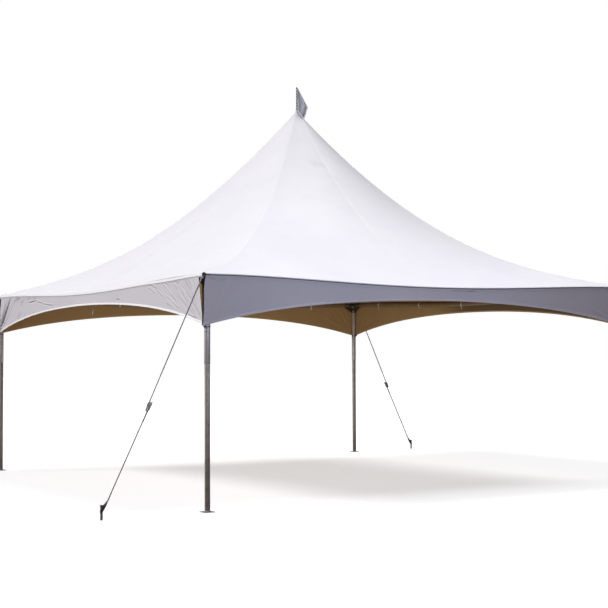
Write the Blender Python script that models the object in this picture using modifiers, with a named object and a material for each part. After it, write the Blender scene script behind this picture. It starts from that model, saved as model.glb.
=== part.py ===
# High-peak frame marquee, 20 ft (6.1 m) square: four telescopic legs, bowed eave tubes in
# gusseted corner fittings, and a mast that stands on two crossing cables and lifts the white
# fabric top. Arched valances hang at the eaves, a guy strap runs from each corner to a
# ground stake, and a small pennant flies at the peak.
#
# Metres, +Z up. The ground is z = 0 and the origin is the centre of the plan. Front is -Y,
# left is -X.
import math

import bmesh
import bpy
from mathutils import Matrix, Vector

# Canopy
CANOPY_HALF = 3.06       # centre to the outer face of a valance
EAVE_Z = 2.44            # top of the fold at a corner, 8 ft
PEAK_Z = 4.88            # where the roof's curves meet, 16 ft
EAVE_SAG = 0.070         # how far the tubes and the fold bow down at mid side
HIP_CURVE = 0.88         # share of the hip's rise that is a parabola, the rest is straight
VALLEY_POWER = 1.4       # curve of the roof at mid side, from eave to peak
ROOF_T = 0.004           # fabric as modelled, measured straight down
PEAK_HOLE = 0.020        # half width of the hole that the finial passes
HEM_CORNER_Z = 1.905     # lower edge of a valance at a corner
HEM_MID_Z = 2.210        # and at the top of its arch
HEM_SQUARE = 0.72        # share of the arch that is a parabola, the rest a fourth power
VALANCE_T = 0.003
VALANCE_INSET = 0.020    # a valance ends this far from the canopy's corner
GUY_INSET = 0.085        # and this far at its top, where a guy strap comes out

# Frame
LEG_HALF = 3.02          # centre to a leg's axis, both ways
LEG_UPPER_R = 0.03175    # 2 1/2 in tube
LEG_UPPER_BORE_R = 0.0288
LEG_LOWER_R = 0.0285     # 2 1/4 in tube
LEG_LOWER_BORE_R = 0.0255
LEG_JOIN_Z = 1.51        # lower end of the upper tube
LEG_LAP = 0.25           # how far the lower tube reaches up inside it
PLATE_SIDE = 0.12
PLATE_T = 0.006
TUBE_R = 0.03175
SLEEVE_R = 0.036
SLEEVE_CLEAR = 0.0008    # under the fabric
SLEEVE_REACH = 0.19      # leg axis to the mouth of a sleeve
WELD_T = 0.004           # wall between a sleeve and the leg's socket
POST_R = 0.0365
POST_BOTTOM_Z = 2.26
POST_ABOVE_TUBE = 0.030
SOCKET_DEPTH = 0.13
GUSSET_REACH = 0.165
GUSSET_T = 0.006

# Mast and its cables
CABLE_R = 0.004
CABLE_BOSS_R = 0.010
CABLE_BOSS_REACH = 0.11
CABLE_DROP = 0.018       # cable below the tube's axis at the corner
HUB_SIDE = 0.11
HUB_Z = 2.265            # middle of the hub that the cables hold
HUB_T = 0.050
MAST_R = 0.03175
CUP_R = 0.040
CUP_DEPTH = 0.060
HEAD_R = 0.090
HEAD_NECK_R = 0.040
HEAD_T = 0.006
HEAD_NECK = 0.090        # rim down to the foot of its neck
HEAD_SEAT = 0.030        # rim down to the mast's top
HEAD_CLEAR = 0.0012      # under the fabric
CAP_R = 0.055
CAP_T = 0.004
CAP_LIFT = 0.001         # cap's rim over the fabric
CAP_COLLAR_R = 0.014
CAP_TOP_Z = 4.900
FINIAL_R = 0.008
FINIAL_TOP_Z = 5.205

# Pennant: along its own plane from the finial's axis, and up
PENNANT_AIM = math.radians(-33.0)
PENNANT_T = 0.003
PENNANT_TOP_Z = 5.195
PENNANT_FOOT_Z = 4.915
PENNANT_CORNER = (0.155, 4.915)
PENNANT_TIP = (0.108, 4.790)

# Guy straps and stakes
GUY_RUN = 1.10           # eye on the fitting to stake, along X
GUY_WIDTH = 0.025
GUY_T = 0.003
GUY_EYE_OUT = 0.070      # eye's pin from the leg's axis
GUY_EYE_DROP = 0.012     # and below the tube's axis
EYE_PIN_R = 0.005
EYE_LOOP_R = 0.0095
EAR_T = 0.004
EAR_HEIGHT = 0.030
EAR_SPACE = 0.027        # between the ears
EAR_START = 0.025        # inside the post, from the leg's axis
LOOP_OVERLAP = 0.8       # share of a loop's wall that the band runs into
STAKE_R = 0.0125
STAKE_HEAD_R = 0.019
STAKE_HEAD_T = 0.012
STAKE_TOP_Z = 0.150      # what stands above the ground
STAKE_LOOP_Z = 0.080
STAKE_LOOP_R = 0.0175

GAP = 0.0003             # between pieces that touch
FIT = 0.0006             # between a round piece and its bore
CUT_OVER = 0.02          # how far a cutter reaches past the face that it cuts
SIDE_COLUMNS = 16        # of the roof and the valances, so that their edges match
ROOF_ROWS = 10
VALANCE_ROWS = 2
TUBE_STATIONS = 14
TUBE_SIDES = 16
TURN_STEPS = 24
LOOP_SIDES = 16
PIN_SIDES = 12
CABLE_SIDES = 8
UP = Vector((0.0, 0.0, 1.0))
BOW_HALF = LEG_HALF - SLEEVE_REACH
SIDES = {"front": 0.0, "right": 90.0, "back": 180.0, "left": 270.0}
CORNERS = {"front_left": (-1, -1), "front_right": (1, -1),
           "back_left": (-1, 1), "back_right": (1, 1)}


def eave_drop(along):
    # The tubes stay level in the sleeves and bow down between them.
    reach = min(abs(along) / BOW_HALF, 1.0)
    return EAVE_SAG * (1.0 - reach ** 2) ** 2


def roof_z(x, y):
    # Top of the fabric. Hips run to the corners, valleys to the middle of each side.
    outward = max(abs(x), abs(y))
    across = min(abs(x), abs(y)) / outward
    ring = outward / CANOPY_HALF
    rise = 1.0 - ring
    hip = EAVE_Z + (PEAK_Z - EAVE_Z) * (HIP_CURVE * rise ** 2 + (1.0 - HIP_CURVE) * rise)
    mid_eave = EAVE_Z - EAVE_SAG
    valley = mid_eave + (PEAK_Z - mid_eave) * rise ** VALLEY_POWER
    eave_share = 1.0 - eave_drop(across * CANOPY_HALF) / EAVE_SAG
    share = across ** 2 + (eave_share - across ** 2) * ring ** 3
    return valley + (hip - valley) * share


def hem_z(along):
    reach = along / CANOPY_HALF
    arch = HEM_SQUARE * reach ** 2 + (1.0 - HEM_SQUARE) * reach ** 4
    return HEM_MID_Z - (HEM_MID_Z - HEM_CORNER_Z) * arch


TUBE_Z = roof_z(LEG_HALF, LEG_HALF) - ROOF_T - SLEEVE_R - SLEEVE_CLEAR
LEG_TOP_Z = TUBE_Z - SLEEVE_R - WELD_T


def clear_scene():
    for obj in list(bpy.data.objects):
        bpy.data.objects.remove(obj, do_unlink=True)


def new_collection(name):
    collection = bpy.data.collections.new(name)
    bpy.context.scene.collection.children.link(collection)
    return collection


def finish(name, colour, roughness, metallic):
    mat = bpy.data.materials.new(name)
    mat.use_nodes = True
    shader = mat.node_tree.nodes["Principled BSDF"]
    shader.inputs["Base Color"].default_value = (*colour, 1.0)
    shader.inputs["Roughness"].default_value = roughness
    shader.inputs["Metallic"].default_value = metallic
    return mat


def add(name, data, mat, collection, location=(0, 0, 0), turn=0.0):
    obj = bpy.data.objects.new(name, data)
    obj.location = location
    obj.rotation_euler = (0, 0, math.radians(turn))
    if mat and not data.materials:
        data.materials.append(mat)
    collection.objects.link(obj)
    return obj


def mesh_of(bm, name):
    mesh = bpy.data.meshes.new(name)
    bm.to_mesh(mesh)
    bm.free()
    return mesh


def smooth(mesh, angle=40.0):
    mesh.shade_smooth()
    mesh.set_sharp_from_angle(angle=math.radians(angle))
    return mesh


def sheet_mesh(name, columns, rows, place, thickness):
    # A grid laid out by place(u, v), u and v from -1 to 1, and given its thickness.
    bm = bmesh.new()
    bmesh.ops.create_grid(bm, x_segments=columns, y_segments=rows, size=1.0)
    for vert in bm.verts:
        vert.co = place(vert.co.x, vert.co.y)
    grown = bmesh.ops.extrude_face_region(bm, geom=bm.faces[:], use_keep_orig=True)
    moved = [item for item in grown["geom"] if isinstance(item, bmesh.types.BMVert)]
    bmesh.ops.translate(bm, verts=moved, vec=thickness)
    bmesh.ops.recalc_face_normals(bm, faces=bm.faces)
    return smooth(mesh_of(bm, name))


def rod_mesh(name, start, end, radius, sides=TURN_STEPS):
    start, end = Vector(start), Vector(end)
    run = end - start
    bm = bmesh.new()
    bmesh.ops.create_cone(bm, cap_ends=True, segments=sides, radius1=radius, radius2=radius,
                          depth=run.length)
    turn = run.to_track_quat("Z", "Y").to_matrix().to_4x4()
    bm.transform(Matrix.Translation((start + end) / 2) @ turn)
    return smooth(mesh_of(bm, name))


def block_mesh(name, size, centre, turn=None):
    bm = bmesh.new()
    bmesh.ops.create_cube(bm, size=1.0)
    place = Matrix.Translation(centre) @ (turn or Matrix.Identity(4))
    bm.transform(place @ Matrix.Diagonal((*size, 1.0)))
    return mesh_of(bm, name)


def outline_mesh(name, points, thickness, frame):
    # A flat outline in its own XY plane, thick about that plane, placed by a matrix.
    curve = bpy.data.curves.new(name, "CURVE")
    curve.dimensions = "2D"
    curve.fill_mode = "BOTH"
    curve.extrude = thickness / 2
    spline = curve.splines.new("POLY")
    spline.points.add(len(points) - 1)
    for point, (x, y) in zip(spline.points, points):
        point.co = (x, y, 0.0, 1.0)
    spline.use_cyclic_u = True
    flat = bpy.data.objects.new(name, curve)
    bpy.context.scene.collection.objects.link(flat)
    graph = bpy.context.evaluated_depsgraph_get()
    mesh = bpy.data.meshes.new_from_object(flat.evaluated_get(graph))
    bpy.data.objects.remove(flat, do_unlink=True)
    bm = bmesh.new()
    bm.from_mesh(mesh)
    bpy.data.meshes.remove(mesh)
    bmesh.ops.remove_doubles(bm, verts=bm.verts, dist=0.00001)
    bmesh.ops.recalc_face_normals(bm, faces=bm.faces)
    bm.transform(frame)
    return mesh_of(bm, name)


def turned(name, profile, mat, collection, location=(0, 0, 0), steps=TURN_STEPS):
    # A profile of (radius, height), top to bottom on its outer side, turned about Z.
    bm = bmesh.new()
    verts = [bm.verts.new((radius, 0.0, height)) for radius, height in profile]
    closed = profile[0][0] > 0.0 and profile[-1][0] > 0.0
    for here, there in zip(verts, verts[1:]):
        bm.edges.new((here, there))
    if closed:
        bm.edges.new((verts[-1], verts[0]))
    mesh = bpy.data.meshes.new(name)
    bm.to_mesh(mesh)
    bm.free()
    obj = add(name, mesh, mat, collection, location)
    screw = obj.modifiers.new("Turn", "SCREW")
    screw.steps = screw.render_steps = steps
    screw.use_merge_vertices = True
    screw.merge_threshold = 0.0001
    screw.use_smooth_shade = True
    return obj


def combine(obj, mesh, operation, cutters):
    cutter = add(f"{obj.name}_{mesh.name}", mesh, None, cutters)
    cutter.display_type = "WIRE"
    cutter.hide_render = True
    cutter.hide_set(True)
    step = obj.modifiers.new(mesh.name, "BOOLEAN")
    step.operation = operation
    step.object = cutter
    step.solver = "EXACT"


def tube_profile(outer, bore, bottom, top):
    return [(outer, top), (outer, bottom), (bore, bottom), (bore, top)]


def roof_place(u, v):
    # v runs from the finial's hole to the eave, with its last row over the eave tube.
    tube_ring = LEG_HALF / CANOPY_HALF
    hole_ring = PEAK_HOLE / CANOPY_HALF
    step = (v + 1.0) / 2.0
    last = 1.0 - 1.0 / ROOF_ROWS
    if step > last + 1e-6:
        ring = 1.0
    else:
        ring = hole_ring + (tube_ring - hole_ring) * (step / last) ** 1.15
    outward = ring * CANOPY_HALF
    return Vector((u * (outward - GAP), -outward, roof_z(u * outward, outward)))


def valance_place(inset_top):
    def place(u, v):
        up = (v + 1.0) / 2.0
        inset = VALANCE_INSET + (inset_top - VALANCE_INSET) * up
        x = u * CANOPY_HALF if abs(u) < 0.999 else math.copysign(CANOPY_HALF - inset, u)
        top = roof_z(x, CANOPY_HALF) - ROOF_T - GAP
        low = hem_z(x)
        return Vector((x, -CANOPY_HALF, low + (top - low) * up))
    return place


def build_canopy(parts, white, shade):
    roof = sheet_mesh("roof_panel", SIDE_COLUMNS, ROOF_ROWS, roof_place, (0, 0, -ROOF_T))
    straight = sheet_mesh("valance", SIDE_COLUMNS, VALANCE_ROWS, valance_place(VALANCE_INSET),
                          (0, VALANCE_T, 0))
    guyed = sheet_mesh("valance_guyed", SIDE_COLUMNS, VALANCE_ROWS, valance_place(GUY_INSET),
                       (0, VALANCE_T, 0))
    for side, turn in SIDES.items():
        add(f"roof_panel_{side}", roof, white, parts, turn=turn)
        valance = guyed if side in ("left", "right") else straight
        add(f"valance_{side}", valance, shade, parts, turn=turn)


def build_eave_tube(side, turn, parts, metal):
    curve = bpy.data.curves.new(f"eave_tube_{side}", "CURVE")
    curve.dimensions = "3D"
    curve.bevel_depth = TUBE_R
    curve.bevel_resolution = (TUBE_SIDES - 4) // 2
    curve.use_fill_caps = True
    end = LEG_HALF - SLEEVE_REACH + SOCKET_DEPTH
    spline = curve.splines.new("POLY")
    stations = [-end]
    stations += [BOW_HALF * (2.0 * i / TUBE_STATIONS - 1.0) for i in range(TUBE_STATIONS + 1)]
    stations += [end]
    spline.points.add(len(stations) - 1)
    for point, x in zip(spline.points, stations):
        point.co = (x, -LEG_HALF, TUBE_Z - eave_drop(x), 1.0)
    return add(f"eave_tube_{side}", curve, metal, parts, turn=turn)


def build_leg(corner, signs, parts, metal, plate_metal):
    place = (signs[0] * LEG_HALF, signs[1] * LEG_HALF, 0.0)
    upper = tube_profile(LEG_UPPER_R, LEG_UPPER_BORE_R, LEG_JOIN_Z, LEG_TOP_Z)
    turned(f"leg_upper_{corner}", upper, metal, parts, place)
    lower = tube_profile(LEG_LOWER_R, LEG_LOWER_BORE_R, PLATE_T + GAP, LEG_JOIN_Z + LEG_LAP)
    turned(f"leg_lower_{corner}", lower, metal, parts, place)
    plate = block_mesh("foot_plate", (PLATE_SIDE, PLATE_SIDE, PLATE_T), (0, 0, PLATE_T / 2))
    add(f"foot_plate_{corner}", plate, plate_metal, parts, place)


def cable_ends(signs):
    # Where a cable leaves its boss on the fitting, and where it meets the hub.
    inward = Vector((-signs[0], -signs[1], 0.0)).normalized()
    corner = Vector((signs[0] * LEG_HALF, signs[1] * LEG_HALF, TUBE_Z - CABLE_DROP))
    hub = -inward * (HUB_SIDE / 2 + GAP) + Vector((0, 0, HUB_Z))
    along = (hub - corner).normalized()
    return corner, corner + along * CABLE_BOSS_REACH, hub, along


def build_fitting(corner, signs, parts, cutters, metal):
    axis = Vector((signs[0] * LEG_HALF, signs[1] * LEG_HALF, 0.0))
    level = axis + Vector((0, 0, TUBE_Z))
    low = axis + Vector((0, 0, POST_BOTTOM_Z))
    post = rod_mesh(f"corner_fitting_{corner}", low, level + UP * POST_ABOVE_TUBE, POST_R)
    fitting = add(f"corner_fitting_{corner}", post, metal, parts)
    inside = POST_R - GUSSET_T
    web_top = TUBE_Z - SLEEVE_R + GUSSET_T
    gusset = [(inside, web_top), (GUSSET_REACH, web_top), (inside, POST_BOTTOM_Z + GUSSET_T)]
    bore = (TUBE_R + GAP) / math.cos(math.pi / TUBE_SIDES)
    sockets = []
    for along in (Vector((-signs[0], 0, 0)), Vector((0, -signs[1], 0))):
        mouth = level + along * SLEEVE_REACH
        combine(fitting, rod_mesh("sleeve", level, mouth, SLEEVE_R, TUBE_SIDES), "UNION", cutters)
        frame = Matrix((along, UP, along.cross(UP))).transposed().to_4x4()
        web = outline_mesh("gusset", gusset, GUSSET_T, Matrix.Translation(axis) @ frame)
        combine(fitting, web, "UNION", cutters)
        bottom = mouth - along * (SOCKET_DEPTH + FIT)
        sockets.append(rod_mesh("socket", bottom, mouth + along * CUT_OVER, bore, TUBE_SIDES))
    start, boss_end, _, _ = cable_ends(signs)
    combine(fitting, rod_mesh("cable_boss", start, boss_end, CABLE_BOSS_R), "UNION", cutters)
    add_guy_bracket(fitting, signs, cutters)
    for socket in sockets:
        combine(fitting, socket, "DIFFERENCE", cutters)
    leg_bore = rod_mesh("leg_socket", low - UP * CUT_OVER, axis + UP * (LEG_TOP_Z + FIT),
                        LEG_UPPER_R + FIT)
    combine(fitting, leg_bore, "DIFFERENCE", cutters)


def eye_point(signs):
    out = Vector((signs[0] * (LEG_HALF + GUY_EYE_OUT), signs[1] * LEG_HALF, 0.0))
    return out + UP * (TUBE_Z - GUY_EYE_DROP)


def add_guy_bracket(fitting, signs, cutters):
    # Two ears and a cross pin that the strap's loop goes round.
    eye = eye_point(signs)
    length = GUY_EYE_OUT + EAR_HEIGHT / 2 - EAR_START
    ear_x = signs[0] * (LEG_HALF + EAR_START + length / 2)
    for across in (-1, 1):
        ear_y = eye.y + across * (EAR_SPACE + EAR_T) / 2
        ear = block_mesh("ear", (length, EAR_T, EAR_HEIGHT), (ear_x, ear_y, eye.z))
        combine(fitting, ear, "UNION", cutters)
    reach = Vector((0, (EAR_SPACE + EAR_T) / 2, 0))
    pin = rod_mesh("eye_pin", eye - reach, eye + reach, EYE_PIN_R, PIN_SIDES)
    combine(fitting, pin, "UNION", cutters)


def build_cable(corner, signs, parts, metal):
    _, start, end, along = cable_ends(signs)
    cable = rod_mesh(f"cross_cable_{corner}", start + along * GAP, end - along * GAP, CABLE_R,
                     CABLE_SIDES)
    add(f"cross_cable_{corner}", cable, metal, parts)


def build_mast(parts, cutters, metal, dark):
    top = HUB_Z + HUB_T / 2
    cup_top = top + CUP_DEPTH
    turn = Matrix.Rotation(math.radians(45.0), 4, "Z")
    hub = block_mesh("mast_foot", (HUB_SIDE, HUB_SIDE, HUB_T), (0, 0, HUB_Z), turn)
    foot = add("mast_foot", hub, dark, parts)
    cup = rod_mesh("cup", (0, 0, HUB_Z), (0, 0, cup_top), CUP_R)
    combine(foot, cup, "UNION", cutters)
    bore = rod_mesh("cup_bore", (0, 0, top), (0, 0, cup_top + CUT_OVER), MAST_R + FIT)
    combine(foot, bore, "DIFFERENCE", cutters)

    # The head's cone follows the valley's slope, a little under the fabric.
    rim_z = roof_z(0.0, HEAD_R) - ROOF_T - HEAD_CLEAR
    tip_z = roof_z(0.0, FINIAL_R) - ROOF_T - HEAD_CLEAR
    seat_z = rim_z - HEAD_SEAT
    neck_z = rim_z - HEAD_NECK
    bore_r = MAST_R + FIT
    head = [(0.0, tip_z), (FINIAL_R, tip_z), (HEAD_R, rim_z), (HEAD_R, rim_z - HEAD_T),
            (HEAD_NECK_R, rim_z - 2 * HEAD_T), (HEAD_NECK_R, neck_z), (bore_r, neck_z),
            (bore_r, seat_z), (0.0, seat_z)]
    turned("mast_head", head, dark, parts)
    mast = rod_mesh("mast", (0, 0, top + GAP), (0, 0, seat_z - GAP), MAST_R)
    add("mast", mast, metal, parts)
    finial = rod_mesh("finial_pole", (0, 0, tip_z + GAP), (0, 0, FINIAL_TOP_Z), FINIAL_R,
                      PIN_SIDES)
    add("finial_pole", finial, metal, parts)


def build_cap(parts, white):
    rim = roof_z(CAP_R / math.sqrt(2), CAP_R / math.sqrt(2)) + CAP_LIFT
    inner = FINIAL_R + FIT
    cap = [(inner, CAP_TOP_Z), (CAP_COLLAR_R, CAP_TOP_Z), (CAP_COLLAR_R, PEAK_Z + CAP_T),
           (CAP_R, rim + CAP_T), (CAP_R, rim), (inner, PEAK_Z - CAP_T)]
    turned("peak_cap", cap, white, parts)


def build_pennant(parts, cloth):
    hoist = FINIAL_R + GAP
    outline = [(hoist, PENNANT_TOP_Z), (hoist, PENNANT_FOOT_Z), PENNANT_TIP, PENNANT_CORNER]
    upright = Matrix.Rotation(PENNANT_AIM, 4, "Z") @ Matrix.Rotation(math.radians(90.0), 4, "X")
    add("pennant", outline_mesh("pennant", outline, PENNANT_T, upright), cloth, parts)


def build_guy(corner, signs, parts, cutters, webbing, steel):
    # The strap runs from a loop round the bracket's pin to a loop round the stake.
    eye = eye_point(signs)
    stake = Vector((eye.x + signs[0] * GUY_RUN, eye.y, 0.0))
    near_stake = stake + UP * STAKE_LOOP_Z - Vector((signs[0] * STAKE_LOOP_R, 0, 0))
    down = (near_stake - eye).normalized()
    start = eye + down * EYE_LOOP_R * LOOP_OVERLAP
    end = near_stake + down * (STAKE_LOOP_R - STAKE_R) * LOOP_OVERLAP
    slope = Matrix((down, Vector((0, 1, 0)), down.cross((0, 1, 0)))).transposed().to_4x4()
    band = block_mesh(f"guy_strap_{corner}", ((end - start).length, GUY_WIDTH, GUY_T),
                      (start + end) / 2, slope)
    strap = add(f"guy_strap_{corner}", band, webbing, parts)
    half = Vector((0, GUY_WIDTH / 2, 0))
    low = stake + UP * (STAKE_LOOP_Z - GUY_WIDTH / 2)
    high = stake + UP * (STAKE_LOOP_Z + GUY_WIDTH / 2)
    for loop in (rod_mesh("eye_loop", eye - half, eye + half, EYE_LOOP_R, LOOP_SIDES),
                 rod_mesh("stake_loop", low, high, STAKE_LOOP_R, LOOP_SIDES)):
        combine(strap, loop, "UNION", cutters)
    eye_bore = rod_mesh("eye_bore", eye - 2 * half, eye + 2 * half, EYE_PIN_R + FIT, PIN_SIDES)
    stake_bore = rod_mesh("stake_bore", low - UP * CUT_OVER, high + UP * CUT_OVER,
                          STAKE_R + FIT, LOOP_SIDES)
    for bore in (eye_bore, stake_bore):
        combine(strap, bore, "DIFFERENCE", cutters)
    neck = STAKE_TOP_Z - STAKE_HEAD_T
    crown = STAKE_TOP_Z - STAKE_HEAD_T / 2
    profile = [(0.0, STAKE_TOP_Z), (STAKE_R, STAKE_TOP_Z), (STAKE_HEAD_R, crown),
               (STAKE_HEAD_R, neck), (STAKE_R, neck), (STAKE_R, 0.0), (0.0, 0.0)]
    turned(f"ground_stake_{corner}", profile, steel, parts, stake, LOOP_SIDES)


def main():
    clear_scene()
    parts = new_collection("marquee_tent")
    cutters = new_collection("cutters")
    white = finish("white_roof_fabric", (0.84, 0.84, 0.86), 0.45, 0.0)
    shade = finish("white_valance_fabric", (0.80, 0.80, 0.82), 0.50, 0.0)
    metal = finish("mill_aluminium", (0.62, 0.62, 0.63), 0.38, 0.9)
    dark = finish("dark_steel", (0.20, 0.20, 0.20), 0.50, 0.8)
    cloth = finish("grey_blue_cloth", (0.24, 0.25, 0.34), 0.80, 0.0)
    webbing = finish("grey_webbing", (0.20, 0.18, 0.16), 0.85, 0.0)
    build_canopy(parts, white, shade)
    for side, turn in SIDES.items():
        build_eave_tube(side, turn, parts, metal)
    for corner, signs in CORNERS.items():
        build_leg(corner, signs, parts, metal, dark)
        build_fitting(corner, signs, parts, cutters, dark)
        build_cable(corner, signs, parts, dark)
        build_guy(corner, signs, parts, cutters, webbing, dark)
    build_mast(parts, cutters, metal, dark)
    build_cap(parts, white)
    build_pennant(parts, cloth)


main()
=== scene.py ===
# Looks of the 20 ft high-peak frame marquee: the white top, its arched valances and hems,
# the tubes, fittings, cables and mast under it, the guys and stakes, and the small pennant.
# Metres, +Z up, front is -Y and left is -X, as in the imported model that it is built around.
import math
import random

import bmesh
import bpy
from mathutils import Matrix, Vector, noise


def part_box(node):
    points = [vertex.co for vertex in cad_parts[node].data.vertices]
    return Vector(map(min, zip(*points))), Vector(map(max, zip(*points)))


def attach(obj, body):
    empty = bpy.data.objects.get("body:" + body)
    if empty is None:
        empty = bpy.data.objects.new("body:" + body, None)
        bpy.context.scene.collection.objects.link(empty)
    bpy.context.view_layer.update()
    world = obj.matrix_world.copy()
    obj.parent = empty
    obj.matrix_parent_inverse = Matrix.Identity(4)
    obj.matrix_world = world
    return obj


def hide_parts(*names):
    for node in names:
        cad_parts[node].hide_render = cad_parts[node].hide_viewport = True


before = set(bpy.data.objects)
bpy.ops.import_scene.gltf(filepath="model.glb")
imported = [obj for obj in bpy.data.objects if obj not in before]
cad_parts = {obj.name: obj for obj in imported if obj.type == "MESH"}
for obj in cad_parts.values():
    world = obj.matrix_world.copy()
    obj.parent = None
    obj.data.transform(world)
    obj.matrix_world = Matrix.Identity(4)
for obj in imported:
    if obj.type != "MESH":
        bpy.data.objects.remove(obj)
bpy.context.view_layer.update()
print("frame loaded,", len(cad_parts), "CAD nodes")

tent = {
    "half": 3.06,            # centre to the outer face of a valance
    "eaveZ": 2.44,           # top of the fold at a corner
    "peakZ": 4.88,
    "eaveSag": 0.070,        # how far the tubes bow down at mid side
    "bowHalf": 2.83,         # and half the length that bows
    "hipCurve": 0.88,
    "valleyPower": 1.4,
    "peakHole": 0.020,
    "hipPull": 0.030,        # stretched a little fuller at the eaves, thinner towards the peak
    "slack": 0.032,          # how much lower the front right hip hangs, higher the back left
    "hemCornerZ": 1.905,
    "hemMidZ": 2.210,
    "hemSquare": 0.72,
    "legHalf": 3.02,         # centre to a leg's axis
    "tubeRadius": 0.03175,
    "tubeZ": 2.4034,         # axis of the eave tubes at a corner
}
sides = {"front": 0, "right": 90, "back": 180, "left": 270}
corners = {"front_left": (-1, -1), "front_right": (1, -1), "back_left": (-1, 1), "back_right": (1, 1)}


def eaveDrop(along):
    reach = min(abs(along) / tent["bowHalf"], 1.0)
    return tent["eaveSag"] * (1.0 - reach ** 2) ** 2


def roofHeight(x, y):  # top of the fabric: hips run to the corners, valleys to mid side
    outward = max(abs(x), abs(y))
    across = min(abs(x), abs(y)) / outward
    ring = outward / tent["half"]
    rise = max(1.0 - ring, 0.0)
    curve = tent["hipCurve"] * rise ** 2 + (1.0 - tent["hipCurve"]) * rise
    hip = tent["eaveZ"] + (tent["peakZ"] - tent["eaveZ"]) * curve
    midEave = tent["eaveZ"] - tent["eaveSag"]
    valley = midEave + (tent["peakZ"] - midEave) * rise ** tent["valleyPower"]
    eaveShare = 1.0 - eaveDrop(across * tent["half"]) / tent["eaveSag"]
    share = across ** 2 + (eaveShare - across ** 2) * ring ** 3
    pull = tent["hipPull"] * math.sin(2.0 * math.pi * rise ** 0.76)
    return valley + (hip - valley) * share + pull


def slacken(sheet):  # the top is slacker towards the front right, tauter at the back left
    for vert in sheet.data.vertices:
        x, y, _ = vert.co
        rise = max(1.0 - max(abs(x), abs(y)) / tent["half"], 0.0)
        vert.co.z += tent["slack"] * math.sin(math.pi * rise) * (y - x) / (abs(x) + abs(y))


def smooth(share):
    share = min(max(share, 0.0), 1.0)
    return share * share * (3.0 - 2.0 * share)


def hemHeight(along):
    reach = along / tent["half"]
    arch = tent["hemSquare"] * reach ** 2 + (1.0 - tent["hemSquare"]) * reach ** 4
    return tent["hemMidZ"] - (tent["hemMidZ"] - tent["hemCornerZ"]) * arch


# camera, light and floor

cameraSet = {
    "place": (-9.552, -15.015, 1.600),
    "yaw": 32.743,           # degrees from +Y towards +X
    "pitch": 2.183,
    "roll": -0.249,
    "lens": 78.705,
    "sensor": 36.0,
}
lightSet = {
    # suns have the way that they come from, soft boxes a place and what they look at
    "key": {"from": (-0.64, 0.29, 0.71), "strength": 2.99, "angle": 18, "colour": (1.0, 0.99, 1.0)},
    "top": {"from": (0.44, -0.03, 0.90), "strength": 2.15, "angle": 34, "colour": (1.0, 0.99, 1.0)},
    "fill": {"place": (-1.0, -7.5, 2.6), "aim": (-1.0, -3.0, 2.3), "size": 2.4, "power": 41.0,
             "colour": (0.92, 1.0, 1.36)},
    "edge": {"place": (-9.5, 1.6, 2.0), "aim": (-3.0, -3.0, 1.7), "size": 4.0, "power": 92.0,
             "colour": (1.0, 0.99, 1.03), "glossOnly": True},
    "mirrored": {"place": (-5.2, -7.9, 1.9), "aim": (-3.0, -3.0, 1.6), "size": 3.0, "power": 40,
                 "colour": (0.97, 0.98, 1.06), "glossOnly": True},
    "bounce": {"place": (0.0, 0.0, 0.02), "aim": (0.0, 0.0, 2.0), "size": 5.2, "power": 63.0,
               "colour": (1.0, 0.92, 0.79)},
    "skyAbove": (0.02, 0.02, 0.025),
    "skyLow": (0.028, 0.026, 0.036),
    "groundLow": (0.15, 0.115, 0.10),
    "groundTo": 0.40,        # shares of the dome's height
    "lowAt": 0.53,
}


def deselectAll():
    if bpy.context.mode != "OBJECT":
        bpy.ops.object.mode_set(mode="OBJECT")
    bpy.ops.object.select_all(action="DESELECT")


def pick(obj):
    deselectAll()
    obj.select_set(True)
    bpy.context.view_layer.objects.active = obj


def linked(name, mesh):  # a new object in the scene
    made = bpy.data.objects.new(name, mesh)
    bpy.context.scene.collection.objects.link(made)
    return made


def aimCamera():
    yaw, pitch, roll = (math.radians(cameraSet[key]) for key in ("yaw", "pitch", "roll"))
    forward = Vector((math.sin(yaw) * math.cos(pitch), math.cos(yaw) * math.cos(pitch), math.sin(pitch)))
    levelRight = Vector((math.cos(yaw), -math.sin(yaw), 0.0))
    levelUp = levelRight.cross(forward)
    right = levelRight * math.cos(roll) + levelUp * math.sin(roll)
    up = levelUp * math.cos(roll) - levelRight * math.sin(roll)
    bpy.ops.object.camera_add()
    camera = bpy.context.object
    camera.name = "camera"
    camera.data.lens = cameraSet["lens"]
    camera.data.sensor_width = cameraSet["sensor"]
    turn = Matrix((right, up, -forward)).transposed().to_4x4()
    camera.matrix_world = Matrix.Translation(cameraSet["place"]) @ turn
    bpy.context.scene.camera = camera


def addSun(name):
    values = lightSet[name]
    bpy.ops.object.light_add(type="SUN")
    lamp = bpy.context.object
    lamp.name = name + "Light"
    lamp.data.energy = values["strength"]
    lamp.data.angle = math.radians(values["angle"])
    lamp.data.color = values["colour"]
    lamp.rotation_euler = Vector(values["from"]).to_track_quat("Z", "Y").to_euler()


def addPanel(name):  # a square soft box, not seen itself
    values = lightSet[name]
    bpy.ops.object.light_add(type="AREA", location=values["place"])
    lamp = bpy.context.object
    lamp.name = name + "Light"
    lamp.data.energy = values["power"]
    lamp.data.size = values["size"]
    lamp.data.color = values["colour"]
    back = Vector(values["place"]) - Vector(values["aim"])
    lamp.rotation_euler = back.to_track_quat("Z", "Y").to_euler()
    lamp.visible_camera = False
    lamp.visible_diffuse = not values.get("glossOnly", False)


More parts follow.
